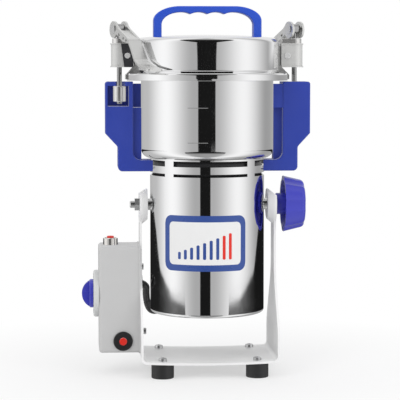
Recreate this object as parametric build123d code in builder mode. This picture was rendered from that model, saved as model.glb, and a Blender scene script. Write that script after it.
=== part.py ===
from build123d import *
from math import atan2, cos, pi, radians, sin, sqrt, tan
import os

# Swing-type electric grain mill: a U-shaped stand, a motor with a grinding bowl that tilts in it,
# and a turn-to-open lid held down by two cam clamps.  All sizes are in millimetres.
# +Z is up, the front is -Y, and the timer box is on the -X side.

# ---------------------------------------------------------------- driving dimensions
# running clearances
SHAFT_CLEARANCE = 0.06      # radial, between a shaft and the hole it turns or slides in
HAND_CLEARANCE = 0.3        # between parts that are moved by hand
BOLT_CLEARANCE = 0.25       # radial, round a bolt that only passes through

# stand
FOOT_HEIGHT = 15.0          # rubber foot under the middle of the base plate
FOOT_RADIUS = 12.5
FOOT_INSET_X = 24.0         # foot centre from the base plate's edge
FOOT_INSET_Y = 12.0
FOOT_SCREW_RADIUS = 2.5
FOOT_SCREW_HEAD_RADIUS = 4.6
FOOT_SCREW_HEAD_HEIGHT = 3.6
SHEET = 2.5                 # stand sheet metal
UPRIGHT_GAP = 10.0          # motor housing to the inner face of each upright
BASE_DEPTH = 112.0
BASE_BOW = 2.0              # the base plate sags this much between its bends
BEND_RADIUS = 4.5           # inside the bend
UPRIGHT_WIDE_HEIGHT = 52.0  # the uprights stay as deep as the base up to here
UPRIGHT_NARROW_HEIGHT = 112.0
UPRIGHT_NARROW_WIDTH = 29.0
UPRIGHT_BLEND_RADIUS = 55.0
UPRIGHT_SHOULDER_RADIUS = 24.0

# tilting pivot
PIVOT_Z = 189.0
EAR_FLAT_RADIUS = 17.0      # pressed dish in the top of each upright
EAR_RIM_RADIUS = 22.5
EAR_GAP = 3.3               # motor housing to the inner face of the ear
PIVOT_BOLT_RADIUS = 4.0
PIVOT_SPACER_RADIUS = 6.5
PIVOT_HEAD_RADIUS = 7.5
PIVOT_HEAD_LENGTH = 5.0
PIVOT_WASHER_RADIUS = 9.5
PIVOT_WASHER = 2.0
PIVOT_NUT_RADIUS = 7.6
PIVOT_NUT_LENGTH = 9.5
PIVOT_BOLT_PROUD = 5.5

# star knob on the right
KNOB_PITCH = 1.25
KNOB_TURNS = 2.0
PRESSURE_SLEEVE_RADIUS = 6.0
PRESSURE_SLEEVE_LENGTH = 7.0
KNOB_HUB_RADIUS = 12.0
KNOB_HUB_LENGTH = 12.0
KNOB_HEAD_RADIUS = 31.5
KNOB_HEAD_END_RADIUS = 26.0
KNOB_HEAD_DEPTH = 23.0
KNOB_WALL = 3.0
KNOB_LOBES = 6
KNOB_SCALLOP_DEPTH = 1.6
KNOB_SCALLOP_RADIUS = 22.0
LOCK_STUD_LENGTH = 32.0     # beyond the housing wall

# motor housing
HOUSING_RADIUS = 64.0
HOUSING_WALL = 1.5
HOUSING_BOTTOM = 68.0
HOUSING_CORNER = 3.5
VENT_POSTS = 4
VENT_POST_WIDTH = 12.5
LOWER_VENT_Z = 222.6
LOWER_VENT_HEIGHT = 3.2
UPPER_VENT_Z = 233.8
UPPER_VENT_HEIGHT = 6.0
HOUSING_BASE_THICK = 1.6

# bowl
BOWL_BOTTOM = 241.5
BOWL_RADIUS = 74.0
BOWL_WALL = 1.5
BOWL_CORNER = 10.0
BOWL_FLANGE_Z = 328.5
BOWL_FLANGE_REACH = 13.0
BOWL_NUT_RADIUS = 19.0
BOWL_NUT_HEIGHT = 5.0

# lid
SKIRT_OVERHANG = 3.0        # beyond the bowl's flange
SKIRT_BOTTOM = 327.6
SKIRT_HEIGHT = 5.6
LID_WALL = 1.5
SHOULDER_STEP = 10.0        # from the skirt in to the lid's wall
SHOULDER_TOP = 338.5
LID_EDGE_Z = 374.6
LID_CROWN = 3.6
LID_CORNER = 3.5
GASKET_THICK = 2.4

# carrying handle on the lid
HANDLE_LENGTH = 120.4
HANDLE_HEIGHT = 35.4        # above the lid's rim
HANDLE_LEG = 9.0
HANDLE_BAR = 9.0            # at the ridges between the finger hollows
HANDLE_DEPTH = 20.0
HANDLE_ARCH_REACH = 30.0    # arched corner, along the bar
HANDLE_ARCH_DROP = 16.0     # and down the leg
HANDLE_EDGE = 1.6           # rounding of its edges
HANDLE_RIDGES = 3           # between four finger hollows
HANDLE_RIDGE_RADIUS = 2.5
HANDLE_HOLLOW_PITCH = 19.0
HANDLE_HOLLOW_DEPTH = 2.4
HANDLE_SCREW_RADIUS = 2.0
HANDLE_SCREW_LENGTH = 16.0  # in the handle's leg

# clamps
ROD_STANDOFF = 18.0         # rod axis from the lid's wall
ROD_RADIUS = 2.8
ROD_BOTTOM = 301.6
BARREL_RADIUS = 7.1
BARREL_HEIGHT = 17.2
BARREL_GAP = 0.4
BLOCK_RADIUS = 9.3
BLOCK_STANDOFF = 2.4        # block from the lid's wall
BLOCK_BOTTOM = 342.3
BLOCK_TOP = 368.8
BLOCK_LIP = 0.9
BLOCK_LIP_THICK = 1.3
BLOCK_SCREW_INSET = 8.8     # screw from the rod's axis
BLOCK_SCREW_Z = 355.2
BLOCK_SCREW_RADIUS = 2.0
BLOCK_SCREW_HEAD = 3.3
BLOCK_SCREW_HEAD_HEIGHT = 1.8
TONGUE_THICK = 4.6
TONGUE_GAP = 1.7            # tongue to rod
BRACKET_WIDTH = 24.0
BRACKET_THICK = 1.8
BRACKET_KNEE = 343.5        # where the bracket leaves the lid's wall
CAM_RADIUS = 9.3
CAM_THROW = 1.0
CAM_GAP = 0.4
PIN_Z = 385.0
PIN_RADIUS = 3.0
PIN_HEAD_RADIUS = 5.4
PIN_HEAD_THICK = 0.9
EYE_RADIUS = 5.4
EYE_WIDTH = 9.6
CHEEK_THICK = 2.5
LEVER_ANGLE = 24.0          # plan angle of a lever from the mill's fore-and-aft line
LEVER_THICK = 2.4
LEVER_TIP_WIDTH = 20.0
LEVER_REACH = 90.0          # pin to tip
LEVER_TRAVEL = 150.0
ROD_DROP = 1.8

# side arms that take the clamp rods
ARM_DEPTH = 34.0
ARM_TOP = 326.4
ARM_RIM = 16.2              # outer face from the rod's axis
ARM_GAP = 9.4               # inner face from the bowl
ARM_BOTTOM = 227.0
ARM_LOWER_OUTER = 100.3
ARM_KNEE_TOP = 269.0
ARM_KNEE_BOTTOM = 254.0
ARM_FOOT_TOP = 239.4
ARM_ROOF = 4.7
WINDOW_FLOOR = 299.0
WINDOW_INSET = 10.1         # window's inner side from the rod's axis
WINDOW_WALL = 2.6
WINDOW_BACK = 4.0
ROD_SLOT_WIDTH = 9.4
SADDLE_DEPTH = 16.0
SADDLE_TOP = 297.5
SADDLE_GAP = 0.4
WEB_TOP = 324.0             # web beside the bowl, on the side away from the window
WEB_THICK = 3.4
WEB_INSET = 1.2             # from the arm's own face
ARM_EDGE = 1.6              # rounding of the arm's edges
ARM_SCREW_RADIUS = 2.5
ARM_SCREW_HEAD = 4.5
ARM_SCREW_HEAD_HEIGHT = 2.6
ARM_SCREW_LENGTH = 18.0     # from the housing's face into the arm
ARM_SCREW_Z = 229.8

# control box on the left upright
BOX_WIDTH = 45.8
BOX_BOTTOM = 25.0
BOX_TOP = 144.0
BOX_DEPTH = 52.0
BOX_WALL = 1.6
BOX_CORNER = 3.5
BACK_PLATE = 1.5
BOX_SCREW_RADIUS = 2.5
BOX_SCREW_HEAD = 3.6
BOX_SCREW_ZS = (118.8, 45.4)
BOX_SCREW_PROUD = (2.2, 5.2)

TIMER_Z = 89.0
TIMER_PLATE_RADIUS = 26.3
TIMER_PLATE_THICK = 5.8
TIMER_SHAFT_RADIUS = 3.0
TIMER_BODY_RADIUS = 21.0
TIMER_BODY_LENGTH = 24.0
TIMER_KNOB_RADIUS = 16.0
TIMER_KNOB_SKIRT = 4.2
TIMER_KNOB_GRIP = 13.0      # overall length of the knob from the plate
TIMER_GRIP_WIDTH = 7.0

BREAKER_INSET = 13.5        # from the box's outer side
BREAKER_RADIUS = 6.0
BREAKER_BODY = 15.0
BREAKER_BODY_HEIGHT = 28.0
BREAKER_NUT_RADIUS = 8.2
BREAKER_NUT_HEIGHT = 7.7
RESET_RADIUS = 3.9
RESET_PROUD = 2.0
RESET_TRAVEL = 3.0

SWITCH_INSET = 26.7
SWITCH_Z = 38.4
SWITCH_BEZEL_RADIUS = 10.8
SWITCH_BEZEL_PROUD = 2.4
SWITCH_BODY_RADIUS = 8.0
SWITCH_BODY_LENGTH = 22.0
POWER_BUTTON_RADIUS = 4.2
POWER_BUTTON_PROUD = 2.6
POWER_BUTTON_TRAVEL = 2.0

MAINS_GLAND_Z = 40.0
MAINS_GLAND_INSET = 22.3
MAINS_GLAND_RADIUS = 7.0
MAINS_BORE_RADIUS = 3.5

# lead between the box and the motor
LEAD_RADIUS = 4.0
LEAD_EXIT_Y = 8.0
LEAD_EXIT_Z = 100.0
GROMMET_RADIUS = 7.8
GROMMET_LIP = 1.2
GROMMET_PLAY = 1.3          # round the lead
GROMMET_MOUTH = 1.0         # flare towards the mill, where the lead bends down
GROMMET_HOLE = 6.2          # in the sheet
COWL_ANGLE = radians(22.5)  # from straight behind, towards the box
COWL_RADIUS = 6.5
COWL_BOTTOM = 163.0
COWL_HEIGHT = 20.0
COWL_PLUG_RADIUS = 4.5

# motor and spindle
SHAFT_RADIUS = 6.0
SHAFT_BOTTOM = 82.0
SHAFT_TOP = 276.0
BEARING_RADIUS = 16.0
BEARING_HEIGHT = 10.0
UPPER_BEARING_Z = 229.0
LOWER_BEARING_Z = 84.0
END_BELL_THICK = 2.0
BELL_HUB_WALL = 3.0
LOWER_BELL_Z = 94.0
BELL_VENT_RADIUS = 9.0
STATOR_RADIUS = 52.0
STATOR_BORE = 31.0
STATOR_BOTTOM = 124.0
STATOR_HEIGHT = 60.0
STATOR_SLOTS = 12
ARMATURE_GAP = 0.8
ARMATURE_OVERHANG = 6.0
COMMUTATOR_RADIUS = 14.0
COMMUTATOR_Z = 99.0
COMMUTATOR_HEIGHT = 18.0
BRUSH_GAP = 0.1
BRUSH_WIDTH = 8.0
BRUSH_LENGTH = 20.0
FAN_Z = 196.0
FAN_RADIUS = 50.0
FAN_HEIGHT = 14.0
FAN_BLADES = 9
FAN_HUB_RADIUS = 12.0
FAN_DISC = 2.0
LOWER_BLADE_Z = 250.0
UPPER_BLADE_Z = 263.0
BLADE_TIP_GAP = 6.5         # blade tip to the bowl's wall
BLADE_WIDTH = 18.0
BLADE_THICK = 2.5
BLADE_TIP_RISE = 8.0
BLADE_TIP_LENGTH = 16.0
BLADE_SPACER_RADIUS = 10.0
BLADE_NUT_RADIUS = 9.5
BLADE_NUT_HEIGHT = 7.0

# ---------------------------------------------------------------- values that follow from them
# The mill axis is off the stand's middle in the row's frame, so that the origin is under the
# middle of the whole object, from the timer knob on the left to the side arm on the right.
STAND_HALF_WIDTH = HOUSING_RADIUS + UPRIGHT_GAP + SHEET
BOX_OUTER = STAND_HALF_WIDTH + BOX_WIDTH
FLANGE_RADIUS = BOWL_RADIUS + BOWL_FLANGE_REACH
SKIRT_RADIUS = FLANGE_RADIUS + SKIRT_OVERHANG
LID_RADIUS = SKIRT_RADIUS - SHOULDER_STEP
ROD_REACH = LID_RADIUS + ROD_STANDOFF
ARM_OUTER = ROD_REACH + ARM_RIM
LEFT_REACH = BOX_OUTER + TIMER_PLATE_THICK + TIMER_KNOB_GRIP
AXIS_X = (LEFT_REACH - ARM_OUTER) / 2

MILL_AXIS = Axis((AXIS_X, 0, 0), (0, 0, 1))
PIVOT_AXIS = Axis((AXIS_X, 0, PIVOT_Z), (1, 0, 0))

STAND_INNER = STAND_HALF_WIDTH - SHEET
EAR_INNER = HOUSING_RADIUS + EAR_GAP
EAR_OUTER = EAR_INNER + SHEET
PLATE_END_Z = FOOT_HEIGHT + BASE_BOW
HOUSING_INNER = HOUSING_RADIUS - HOUSING_WALL
BOWL_INNER = BOWL_RADIUS - BOWL_WALL
FLANGE_TOP = BOWL_FLANGE_Z + BOWL_WALL
SKIRT_TOP = SKIRT_BOTTOM + SKIRT_HEIGHT
SHOULDER_BEND = atan2(SHOULDER_STEP, SHOULDER_TOP - SKIRT_TOP)  # between the lid's wall and its shoulder
BRACKET_BEND = atan2(SHOULDER_STEP, BRACKET_KNEE - SKIRT_TOP)
ARM_SCREW_SEAT = sqrt(HOUSING_INNER**2 - ARM_SCREW_HEAD**2) - SHAFT_CLEARANCE  # head in the round housing
GASKET_TOP = FLANGE_TOP + SHAFT_CLEARANCE + GASKET_THICK
WINDOW_ROOF = ARM_TOP - ARM_ROOF
BARREL_TOP = WINDOW_ROOF - BARREL_GAP
CAM_CENTRE_Z = PIN_Z - CAM_THROW
PAD_TOP = CAM_CENTRE_Z - CAM_RADIUS - CAM_GAP
LEVER_WIDTH = EYE_WIDTH + 2 * HAND_CLEARANCE + 2 * CHEEK_THICK
BOX_INNER = STAND_HALF_WIDTH
FOOT_SPACING_X = 2 * (STAND_HALF_WIDTH - FOOT_INSET_X)
FOOT_SPACING_Y = BASE_DEPTH - 2 * FOOT_INSET_Y
BLOCK_INNER = LID_RADIUS + BLOCK_STANDOFF
BLOCK_SCREW_X = ROD_REACH - BLOCK_SCREW_INSET
TONGUE_REACH = ROD_REACH - ROD_RADIUS - TONGUE_GAP
ARM_INNER = BOWL_RADIUS + ARM_GAP
WINDOW_INNER = ROD_REACH - WINDOW_INSET
BLADE_LENGTH = 2 * (BOWL_INNER - BLADE_TIP_GAP)
BREAKER_X = BOX_OUTER - BREAKER_INSET
SWITCH_X = BOX_OUTER - SWITCH_INSET
MAINS_GLAND_X = BOX_OUTER - MAINS_GLAND_INSET
HANDLE_TOP = LID_EDGE_Z + HANDLE_HEIGHT
HANDLE_LEG_X = (HANDLE_LENGTH - HANDLE_LEG) / 2


def level(height):
    """Horizontal plane centred on the mill axis."""
    return Plane(origin=(AXIS_X, 0, height))


def upright(y=0.0):
    """Vertical plane across the mill, seen from the front: local x is left-right, local y is height."""
    return Plane(origin=(AXIS_X, y, 0), x_dir=(1, 0, 0), z_dir=(0, -1, 0))


def sideways(x, height=0.0):
    """Plane seen from the right: local x is front-back, local y is height above the given one."""
    return Plane(origin=(AXIS_X + x, 0, height), x_dir=(0, 1, 0), z_dir=(1, 0, 0))


def turned(points, axis=MILL_AXIS, mode=Mode.ADD):
    """Turn a closed outline, given in the front view, about an axis inside the caller's part."""
    with BuildSketch(upright()) as outline:
        with BuildLine():
            Polyline(*points, close=True)
        make_face()
    revolve(outline.sketch, axis=axis, mode=mode)


def turned_on_x(spans, height, mode=Mode.ADD):
    """Stepped round piece along X at a height: each span is (x from, x to, radius)."""
    for start, end, radius in spans:
        with BuildSketch(sideways(start, height)) as disc:
            Circle(radius)
        extrude(disc.sketch, amount=end - start, mode=mode)


def ring(bottom, top, outer, inner=0.0, mode=Mode.ADD):
    """Round plate or tube about the mill axis."""
    with BuildSketch(level(bottom)) as disc:
        Circle(outer)
        if inner > 0:
            Circle(inner, mode=Mode.SUBTRACT)
    extrude(disc.sketch, amount=top - bottom, mode=mode)


def opposite(shape):
    """The same piece on the other side of the mill."""
    return shape.rotate(MILL_AXIS, 180)


def save(piece, name):
    """Label a finished piece and write its file."""
    piece.label = name
    export_step(piece, f"parts/{name}.step")


os.makedirs("parts", exist_ok=True)

# ================================================================ stand
# ---- stand bracket: one bent sheet, with a pressed dish in the top of each upright
with BuildPart() as stand_bracket:
    with BuildSketch(upright()) as strip:
        with BuildLine():
            Polyline(
                (-STAND_HALF_WIDTH, PLATE_END_Z),
                (-STAND_HALF_WIDTH, PIVOT_Z),
                (-STAND_INNER, PIVOT_Z),
                (-STAND_INNER, PLATE_END_Z + SHEET),
            )
            ThreePointArc(
                (-STAND_INNER, PLATE_END_Z + SHEET),
                (0, FOOT_HEIGHT + SHEET),
                (STAND_INNER, PLATE_END_Z + SHEET),
            )
            Polyline(
                (STAND_INNER, PLATE_END_Z + SHEET),
                (STAND_INNER, PIVOT_Z),
                (STAND_HALF_WIDTH, PIVOT_Z),
                (STAND_HALF_WIDTH, PLATE_END_Z),
            )
            ThreePointArc(
                (STAND_HALF_WIDTH, PLATE_END_Z),
                (0, FOOT_HEIGHT),
                (-STAND_HALF_WIDTH, PLATE_END_Z),
            )
        make_face()
        low = strip.vertices().filter_by_position(Axis.Y, 0, PLATE_END_Z + 2 * SHEET)
        fillet(low.filter_by_position(Axis.X, -STAND_INNER - 0.1, STAND_INNER + 0.1), BEND_RADIUS)
        low = strip.vertices().filter_by_position(Axis.Y, 0, PLATE_END_Z + 0.1)
        outside = low.filter_by_position(Axis.X, -STAND_HALF_WIDTH - 1, -STAND_HALF_WIDTH + 0.1)
        outside += low.filter_by_position(Axis.X, STAND_HALF_WIDTH - 0.1, STAND_HALF_WIDTH + 1)
        fillet(outside, BEND_RADIUS + SHEET)
    extrude(amount=BASE_DEPTH / 2, both=True)
    # side outline of the uprights: deep at the base, drawn in to a narrow neck
    with BuildSketch(sideways(-STAND_HALF_WIDTH - SHEET)) as side_outline:
        with BuildLine():
            Polyline(
                (-BASE_DEPTH / 2, 0),
                (-BASE_DEPTH / 2, UPRIGHT_WIDE_HEIGHT),
                (-UPRIGHT_NARROW_WIDTH / 2, UPRIGHT_NARROW_HEIGHT),
                (-UPRIGHT_NARROW_WIDTH / 2, PIVOT_Z),
                (UPRIGHT_NARROW_WIDTH / 2, PIVOT_Z),
                (UPRIGHT_NARROW_WIDTH / 2, UPRIGHT_NARROW_HEIGHT),
                (BASE_DEPTH / 2, UPRIGHT_WIDE_HEIGHT),
                (BASE_DEPTH / 2, 0),
                close=True,
            )
        make_face()
        corners = side_outline.vertices()
        fillet(
            corners.filter_by_position(Axis.Y, UPRIGHT_WIDE_HEIGHT - 1, UPRIGHT_WIDE_HEIGHT + 1),
            UPRIGHT_SHOULDER_RADIUS,
        )
        corners = side_outline.vertices()
        fillet(
            corners.filter_by_position(Axis.Y, UPRIGHT_NARROW_HEIGHT - 1, UPRIGHT_NARROW_HEIGHT + 1),
            UPRIGHT_BLEND_RADIUS,
        )
    extrude(amount=2 * (STAND_HALF_WIDTH + SHEET), mode=Mode.INTERSECT)
    # the dish replaces the flat end of each upright
    dish_spans = [
        (-STAND_HALF_WIDTH - 1, -EAR_INNER, EAR_RIM_RADIUS),
        (EAR_INNER, STAND_HALF_WIDTH + 1, EAR_RIM_RADIUS),
    ]
    turned_on_x(dish_spans, PIVOT_Z, mode=Mode.SUBTRACT)
    for side in (-1, 1):
        turned(
            [
                (side * EAR_INNER, PIVOT_Z + PIVOT_BOLT_RADIUS + SHAFT_CLEARANCE),
                (side * EAR_INNER, PIVOT_Z + EAR_FLAT_RADIUS),
                (side * STAND_INNER, PIVOT_Z + EAR_RIM_RADIUS),
                (side * STAND_HALF_WIDTH, PIVOT_Z + EAR_RIM_RADIUS + SHEET / 2),
                (side * STAND_HALF_WIDTH, PIVOT_Z + EAR_RIM_RADIUS - SHEET / 2),
                (side * EAR_OUTER, PIVOT_Z + EAR_FLAT_RADIUS - SHEET / 2),
                (side * EAR_OUTER, PIVOT_Z + PIVOT_BOLT_RADIUS + SHAFT_CLEARANCE),
            ],
            axis=PIVOT_AXIS,
        )
    # the dish's rim is trimmed away over the top
    with BuildSketch(upright()) as over_ears:
        for side in (-1, 1):
            with BuildLine():
                Polyline(
                    (side * EAR_INNER, PIVOT_Z + EAR_FLAT_RADIUS + 1),
                    (side * (STAND_HALF_WIDTH + 1), PIVOT_Z + EAR_FLAT_RADIUS - 7),
                    (side * (STAND_HALF_WIDTH + 1), PIVOT_Z + 2 * EAR_RIM_RADIUS),
                    (side * EAR_INNER, PIVOT_Z + 2 * EAR_RIM_RADIUS),
                    close=True,
                )
            make_face()
    extrude(over_ears.sketch, amount=BASE_DEPTH, both=True, mode=Mode.SUBTRACT)
    # screw holes for the feet
    with BuildSketch(level(0)) as foot_holes:
        with GridLocations(FOOT_SPACING_X, FOOT_SPACING_Y, 2, 2):
            Circle(FOOT_SCREW_RADIUS)
    extrude(foot_holes.sketch, amount=UPRIGHT_WIDE_HEIGHT, mode=Mode.SUBTRACT)
    # box screws and the lead grommet pass through the left upright
    for hole_z in BOX_SCREW_ZS:
        turned_on_x([(-STAND_HALF_WIDTH - 1, -STAND_INNER + 1, BOX_SCREW_RADIUS)], hole_z, Mode.SUBTRACT)
    with BuildSketch(sideways(-STAND_HALF_WIDTH - 1, LEAD_EXIT_Z)) as lead_hole:
        with Locations((LEAD_EXIT_Y, 0)):
            Circle(GROMMET_HOLE)
    extrude(lead_hole.sketch, amount=SHEET + 2, mode=Mode.SUBTRACT)
save(stand_bracket.part, "stand_bracket")

# ---- rubber feet, their tops shaped by the plate they press against
with BuildPart() as rubber_feet:
    with BuildSketch(level(0)) as pads:
        with GridLocations(FOOT_SPACING_X, FOOT_SPACING_Y, 2, 2):
            Circle(FOOT_RADIUS)
    extrude(amount=PLATE_END_Z)
    fillet(rubber_feet.edges().group_by(Axis.Z)[0], 1.2)
    with BuildSketch(upright()) as above_plate:
        with BuildLine():
            ThreePointArc((-STAND_HALF_WIDTH, PLATE_END_Z), (0, FOOT_HEIGHT), (STAND_HALF_WIDTH, PLATE_END_Z))
            Polyline(
                (STAND_HALF_WIDTH, PLATE_END_Z),
                (STAND_HALF_WIDTH, 2 * PLATE_END_Z),
                (-STAND_HALF_WIDTH, 2 * PLATE_END_Z),
                (-STAND_HALF_WIDTH, PLATE_END_Z),
            )
        make_face()
    extrude(above_plate.sketch, amount=BASE_DEPTH, both=True, mode=Mode.SUBTRACT)
    with BuildSketch(level(-1)) as screw_wells:
        with GridLocations(FOOT_SPACING_X, FOOT_SPACING_Y, 2, 2):
            Circle(FOOT_SCREW_RADIUS)
    extrude(screw_wells.sketch, amount=2 * PLATE_END_Z, mode=Mode.SUBTRACT)
save(rubber_feet.part, "rubber_feet")

# ---- foot screws: pan heads on the base plate, shanks down into the feet
SCREW_SEAT = FOOT_HEIGHT + SHEET + BASE_BOW * (FOOT_SPACING_X / 2 / STAND_HALF_WIDTH) ** 2
with BuildPart() as foot_screws:
    with BuildSketch(level(SCREW_SEAT - 0.5)) as heads:
        with GridLocations(FOOT_SPACING_X, FOOT_SPACING_Y, 2, 2):
            Circle(FOOT_SCREW_HEAD_RADIUS)
    extrude(amount=FOOT_SCREW_HEAD_HEIGHT + 0.5)
    fillet(foot_screws.edges().group_by(Axis.Z)[-1], 1.4)
    add(stand_bracket.part, mode=Mode.SUBTRACT)
    with BuildSketch(level(SCREW_SEAT + FOOT_SCREW_HEAD_HEIGHT - 1.6)) as drives:
        with GridLocations(FOOT_SPACING_X, FOOT_SPACING_Y, 2, 2):
            Rectangle(5, 1.1)
            Rectangle(1.1, 5)
    extrude(drives.sketch, amount=3, mode=Mode.SUBTRACT)
    with BuildSketch(level(FOOT_HEIGHT / 3)) as shanks:
        with GridLocations(FOOT_SPACING_X, FOOT_SPACING_Y, 2, 2):
            Circle(FOOT_SCREW_RADIUS)
    extrude(shanks.sketch, amount=SCREW_SEAT - FOOT_HEIGHT / 3 + 0.5)
save(foot_screws.part, "foot_screws")

# ================================================================ control box
# ---- box shell, open towards the upright
BOX_BACK = BOX_INNER + BACK_PLATE
BOX_MIDDLE_Z = (BOX_TOP + BOX_BOTTOM) / 2
with BuildPart() as control_box:
    with BuildSketch(sideways(-BOX_OUTER, BOX_MIDDLE_Z)) as box_face:
        RectangleRounded(BOX_DEPTH, BOX_TOP - BOX_BOTTOM, BOX_CORNER)
    extrude(amount=BOX_OUTER - BOX_BACK)
    fillet(control_box.faces().sort_by(Axis.X)[0].edges(), BOX_CORNER)
    with BuildSketch(sideways(-BOX_OUTER + BOX_WALL, BOX_MIDDLE_Z)) as box_hollow:
        RectangleRounded(
            BOX_DEPTH - 2 * BOX_WALL, BOX_TOP - BOX_BOTTOM - 2 * BOX_WALL, BOX_CORNER - BOX_WALL
        )
    extrude(box_hollow.sketch, amount=BOX_OUTER, mode=Mode.SUBTRACT)
    # holes for the timer spindle, breaker, switch and mains gland
    turned_on_x([(-BOX_OUTER - 1, -BOX_OUTER + BOX_WALL + 1, TIMER_SHAFT_RADIUS + 2)], TIMER_Z, Mode.SUBTRACT)
    with BuildSketch(level(BOX_TOP - BOX_WALL - 1)) as breaker_hole:
        with Locations((-BREAKER_X, 0)):
            Circle(BREAKER_RADIUS)
    extrude(breaker_hole.sketch, amount=BOX_WALL + 2, mode=Mode.SUBTRACT)
    with BuildSketch(upright(-BOX_DEPTH / 2 - 1)) as switch_hole:
        with Locations((-SWITCH_X, SWITCH_Z)):
            Circle(SWITCH_BODY_RADIUS)
    extrude(switch_hole.sketch, amount=-BOX_WALL - 2, mode=Mode.SUBTRACT)
    with BuildSketch(upright(BOX_DEPTH / 2 + 1)) as mains_hole:
        with Locations((-MAINS_GLAND_X, MAINS_GLAND_Z)):
            Circle(MAINS_GLAND_RADIUS - 2)
    extrude(mains_hole.sketch, amount=BOX_WALL + 2, mode=Mode.SUBTRACT)
save(control_box.part, "control_box")

# ---- back plate between the box and the upright
with BuildPart() as box_back_plate:
    with BuildSketch(sideways(-BOX_BACK, BOX_MIDDLE_Z)) as back_outline:
        RectangleRounded(BOX_DEPTH + 1.6, BOX_TOP - BOX_BOTTOM + 1.6, BOX_CORNER)
        with Locations((LEAD_EXIT_Y, LEAD_EXIT_Z - BOX_MIDDLE_Z)):
            Circle(GROMMET_HOLE, mode=Mode.SUBTRACT)
        for hole_z in BOX_SCREW_ZS:
            with Locations((0, hole_z - BOX_MIDDLE_Z)):
                Circle(BOX_SCREW_RADIUS, mode=Mode.SUBTRACT)
    extrude(amount=BACK_PLATE)
save(box_back_plate.part, "box_back_plate")

# ---- screws that hold the box: heads inside the box, ends proud of the upright
with BuildPart() as box_screws:
    for screw_z, proud in zip(BOX_SCREW_ZS, BOX_SCREW_PROUD):
        turned_on_x(
            [
                (-BOX_BACK - 2.4, -BOX_BACK, BOX_SCREW_HEAD + 0.8),
                (-BOX_BACK, -STAND_INNER, BOX_SCREW_RADIUS),
                (-STAND_INNER, -STAND_INNER + proud, BOX_SCREW_HEAD),
            ],
            screw_z,
        )
    chamfer(box_screws.edges().group_by(Axis.X)[-1], 0.5)
save(box_screws.part, "box_screws")

# ---- timer: dial plate, clockwork body with its spindle, and the knob
PLATE_FACE = BOX_OUTER + TIMER_PLATE_THICK
with BuildPart() as timer_plate:
    turned_on_x([(-PLATE_FACE, -BOX_OUTER, TIMER_PLATE_RADIUS)], TIMER_Z)
    fillet(timer_plate.faces().sort_by(Axis.X)[0].edges(), 2.4)
    turned_on_x([(-PLATE_FACE - 1, -BOX_OUTER + 1, TIMER_SHAFT_RADIUS + 1)], TIMER_Z, Mode.SUBTRACT)
save(timer_plate.part, "timer_plate")

with BuildPart() as timer_switch:
    turned_on_x(
        [
            (-BOX_OUTER + BOX_WALL, -BOX_OUTER + BOX_WALL + TIMER_BODY_LENGTH, TIMER_BODY_RADIUS),
            (-PLATE_FACE - TIMER_KNOB_GRIP / 2, -BOX_OUTER + BOX_WALL, TIMER_SHAFT_RADIUS),
        ],
        TIMER_Z,
    )
save(timer_switch.part, "timer_switch")

with BuildPart() as timer_knob:
    knob_base = PLATE_FACE + HAND_CLEARANCE
    turned_on_x([(-knob_base - TIMER_KNOB_SKIRT, -knob_base, TIMER_KNOB_RADIUS)], TIMER_Z)
    fillet(timer_knob.faces().sort_by(Axis.X)[0].edges(), 1.5)
    grip_rise = PLATE_FACE + TIMER_KNOB_GRIP - knob_base - TIMER_KNOB_SKIRT
    with BuildSketch(upright()) as grip:
        with BuildLine():
            Line((-knob_base - TIMER_KNOB_SKIRT + 1, TIMER_Z - TIMER_KNOB_RADIUS + 1),
                 (-knob_base - TIMER_KNOB_SKIRT + 1, TIMER_Z + TIMER_KNOB_RADIUS - 1))
            ThreePointArc(
                (-knob_base - TIMER_KNOB_SKIRT + 1, TIMER_Z + TIMER_KNOB_RADIUS - 1),
                (-knob_base - TIMER_KNOB_SKIRT - grip_rise, TIMER_Z),
                (-knob_base - TIMER_KNOB_SKIRT + 1, TIMER_Z - TIMER_KNOB_RADIUS + 1),
            )
        make_face()
    extrude(amount=TIMER_GRIP_WIDTH / 2, both=True)
    turned_on_x(
        [(-PLATE_FACE - TIMER_KNOB_GRIP / 2 - HAND_CLEARANCE, -knob_base + 1,
          TIMER_SHAFT_RADIUS + SHAFT_CLEARANCE)],
        TIMER_Z, Mode.SUBTRACT,
    )
save(timer_knob.part, "timer_knob")

# ---- overload breaker: body under the roof, nut on top, pop-up reset button
with BuildPart() as breaker:
    with BuildSketch(level(BOX_TOP - BOX_WALL - BREAKER_BODY_HEIGHT)) as breaker_block:
        with Locations((-BREAKER_X, 0)):
            Rectangle(BREAKER_BODY, BREAKER_BODY * 2)
    extrude(amount=BREAKER_BODY_HEIGHT)
    with BuildSketch(level(BOX_TOP - BOX_WALL)) as breaker_neck:
        with Locations((-BREAKER_X, 0)):
            Circle(BREAKER_RADIUS)
    extrude(amount=BOX_WALL + BREAKER_NUT_HEIGHT - 1)
    with BuildSketch(level(BOX_TOP - BOX_WALL - 2)) as button_well:
        with Locations((-BREAKER_X, 0)):
            Circle(RESET_RADIUS + SHAFT_CLEARANCE)
    extrude(button_well.sketch, amount=BREAKER_BODY_HEIGHT, mode=Mode.SUBTRACT)
save(breaker.part, "breaker")

with BuildPart() as breaker_nut:
    with BuildSketch(level(BOX_TOP)) as nut_outline:
        with Locations((-BREAKER_X, 0)):
            Circle(BREAKER_NUT_RADIUS)
            Circle(BREAKER_RADIUS, mode=Mode.SUBTRACT)
    extrude(amount=BREAKER_NUT_HEIGHT)
    chamfer(breaker_nut.edges().group_by(Axis.Z)[-1].sort_by(SortBy.LENGTH)[-1], 0.6)
save(breaker_nut.part, "breaker_nut")

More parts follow.
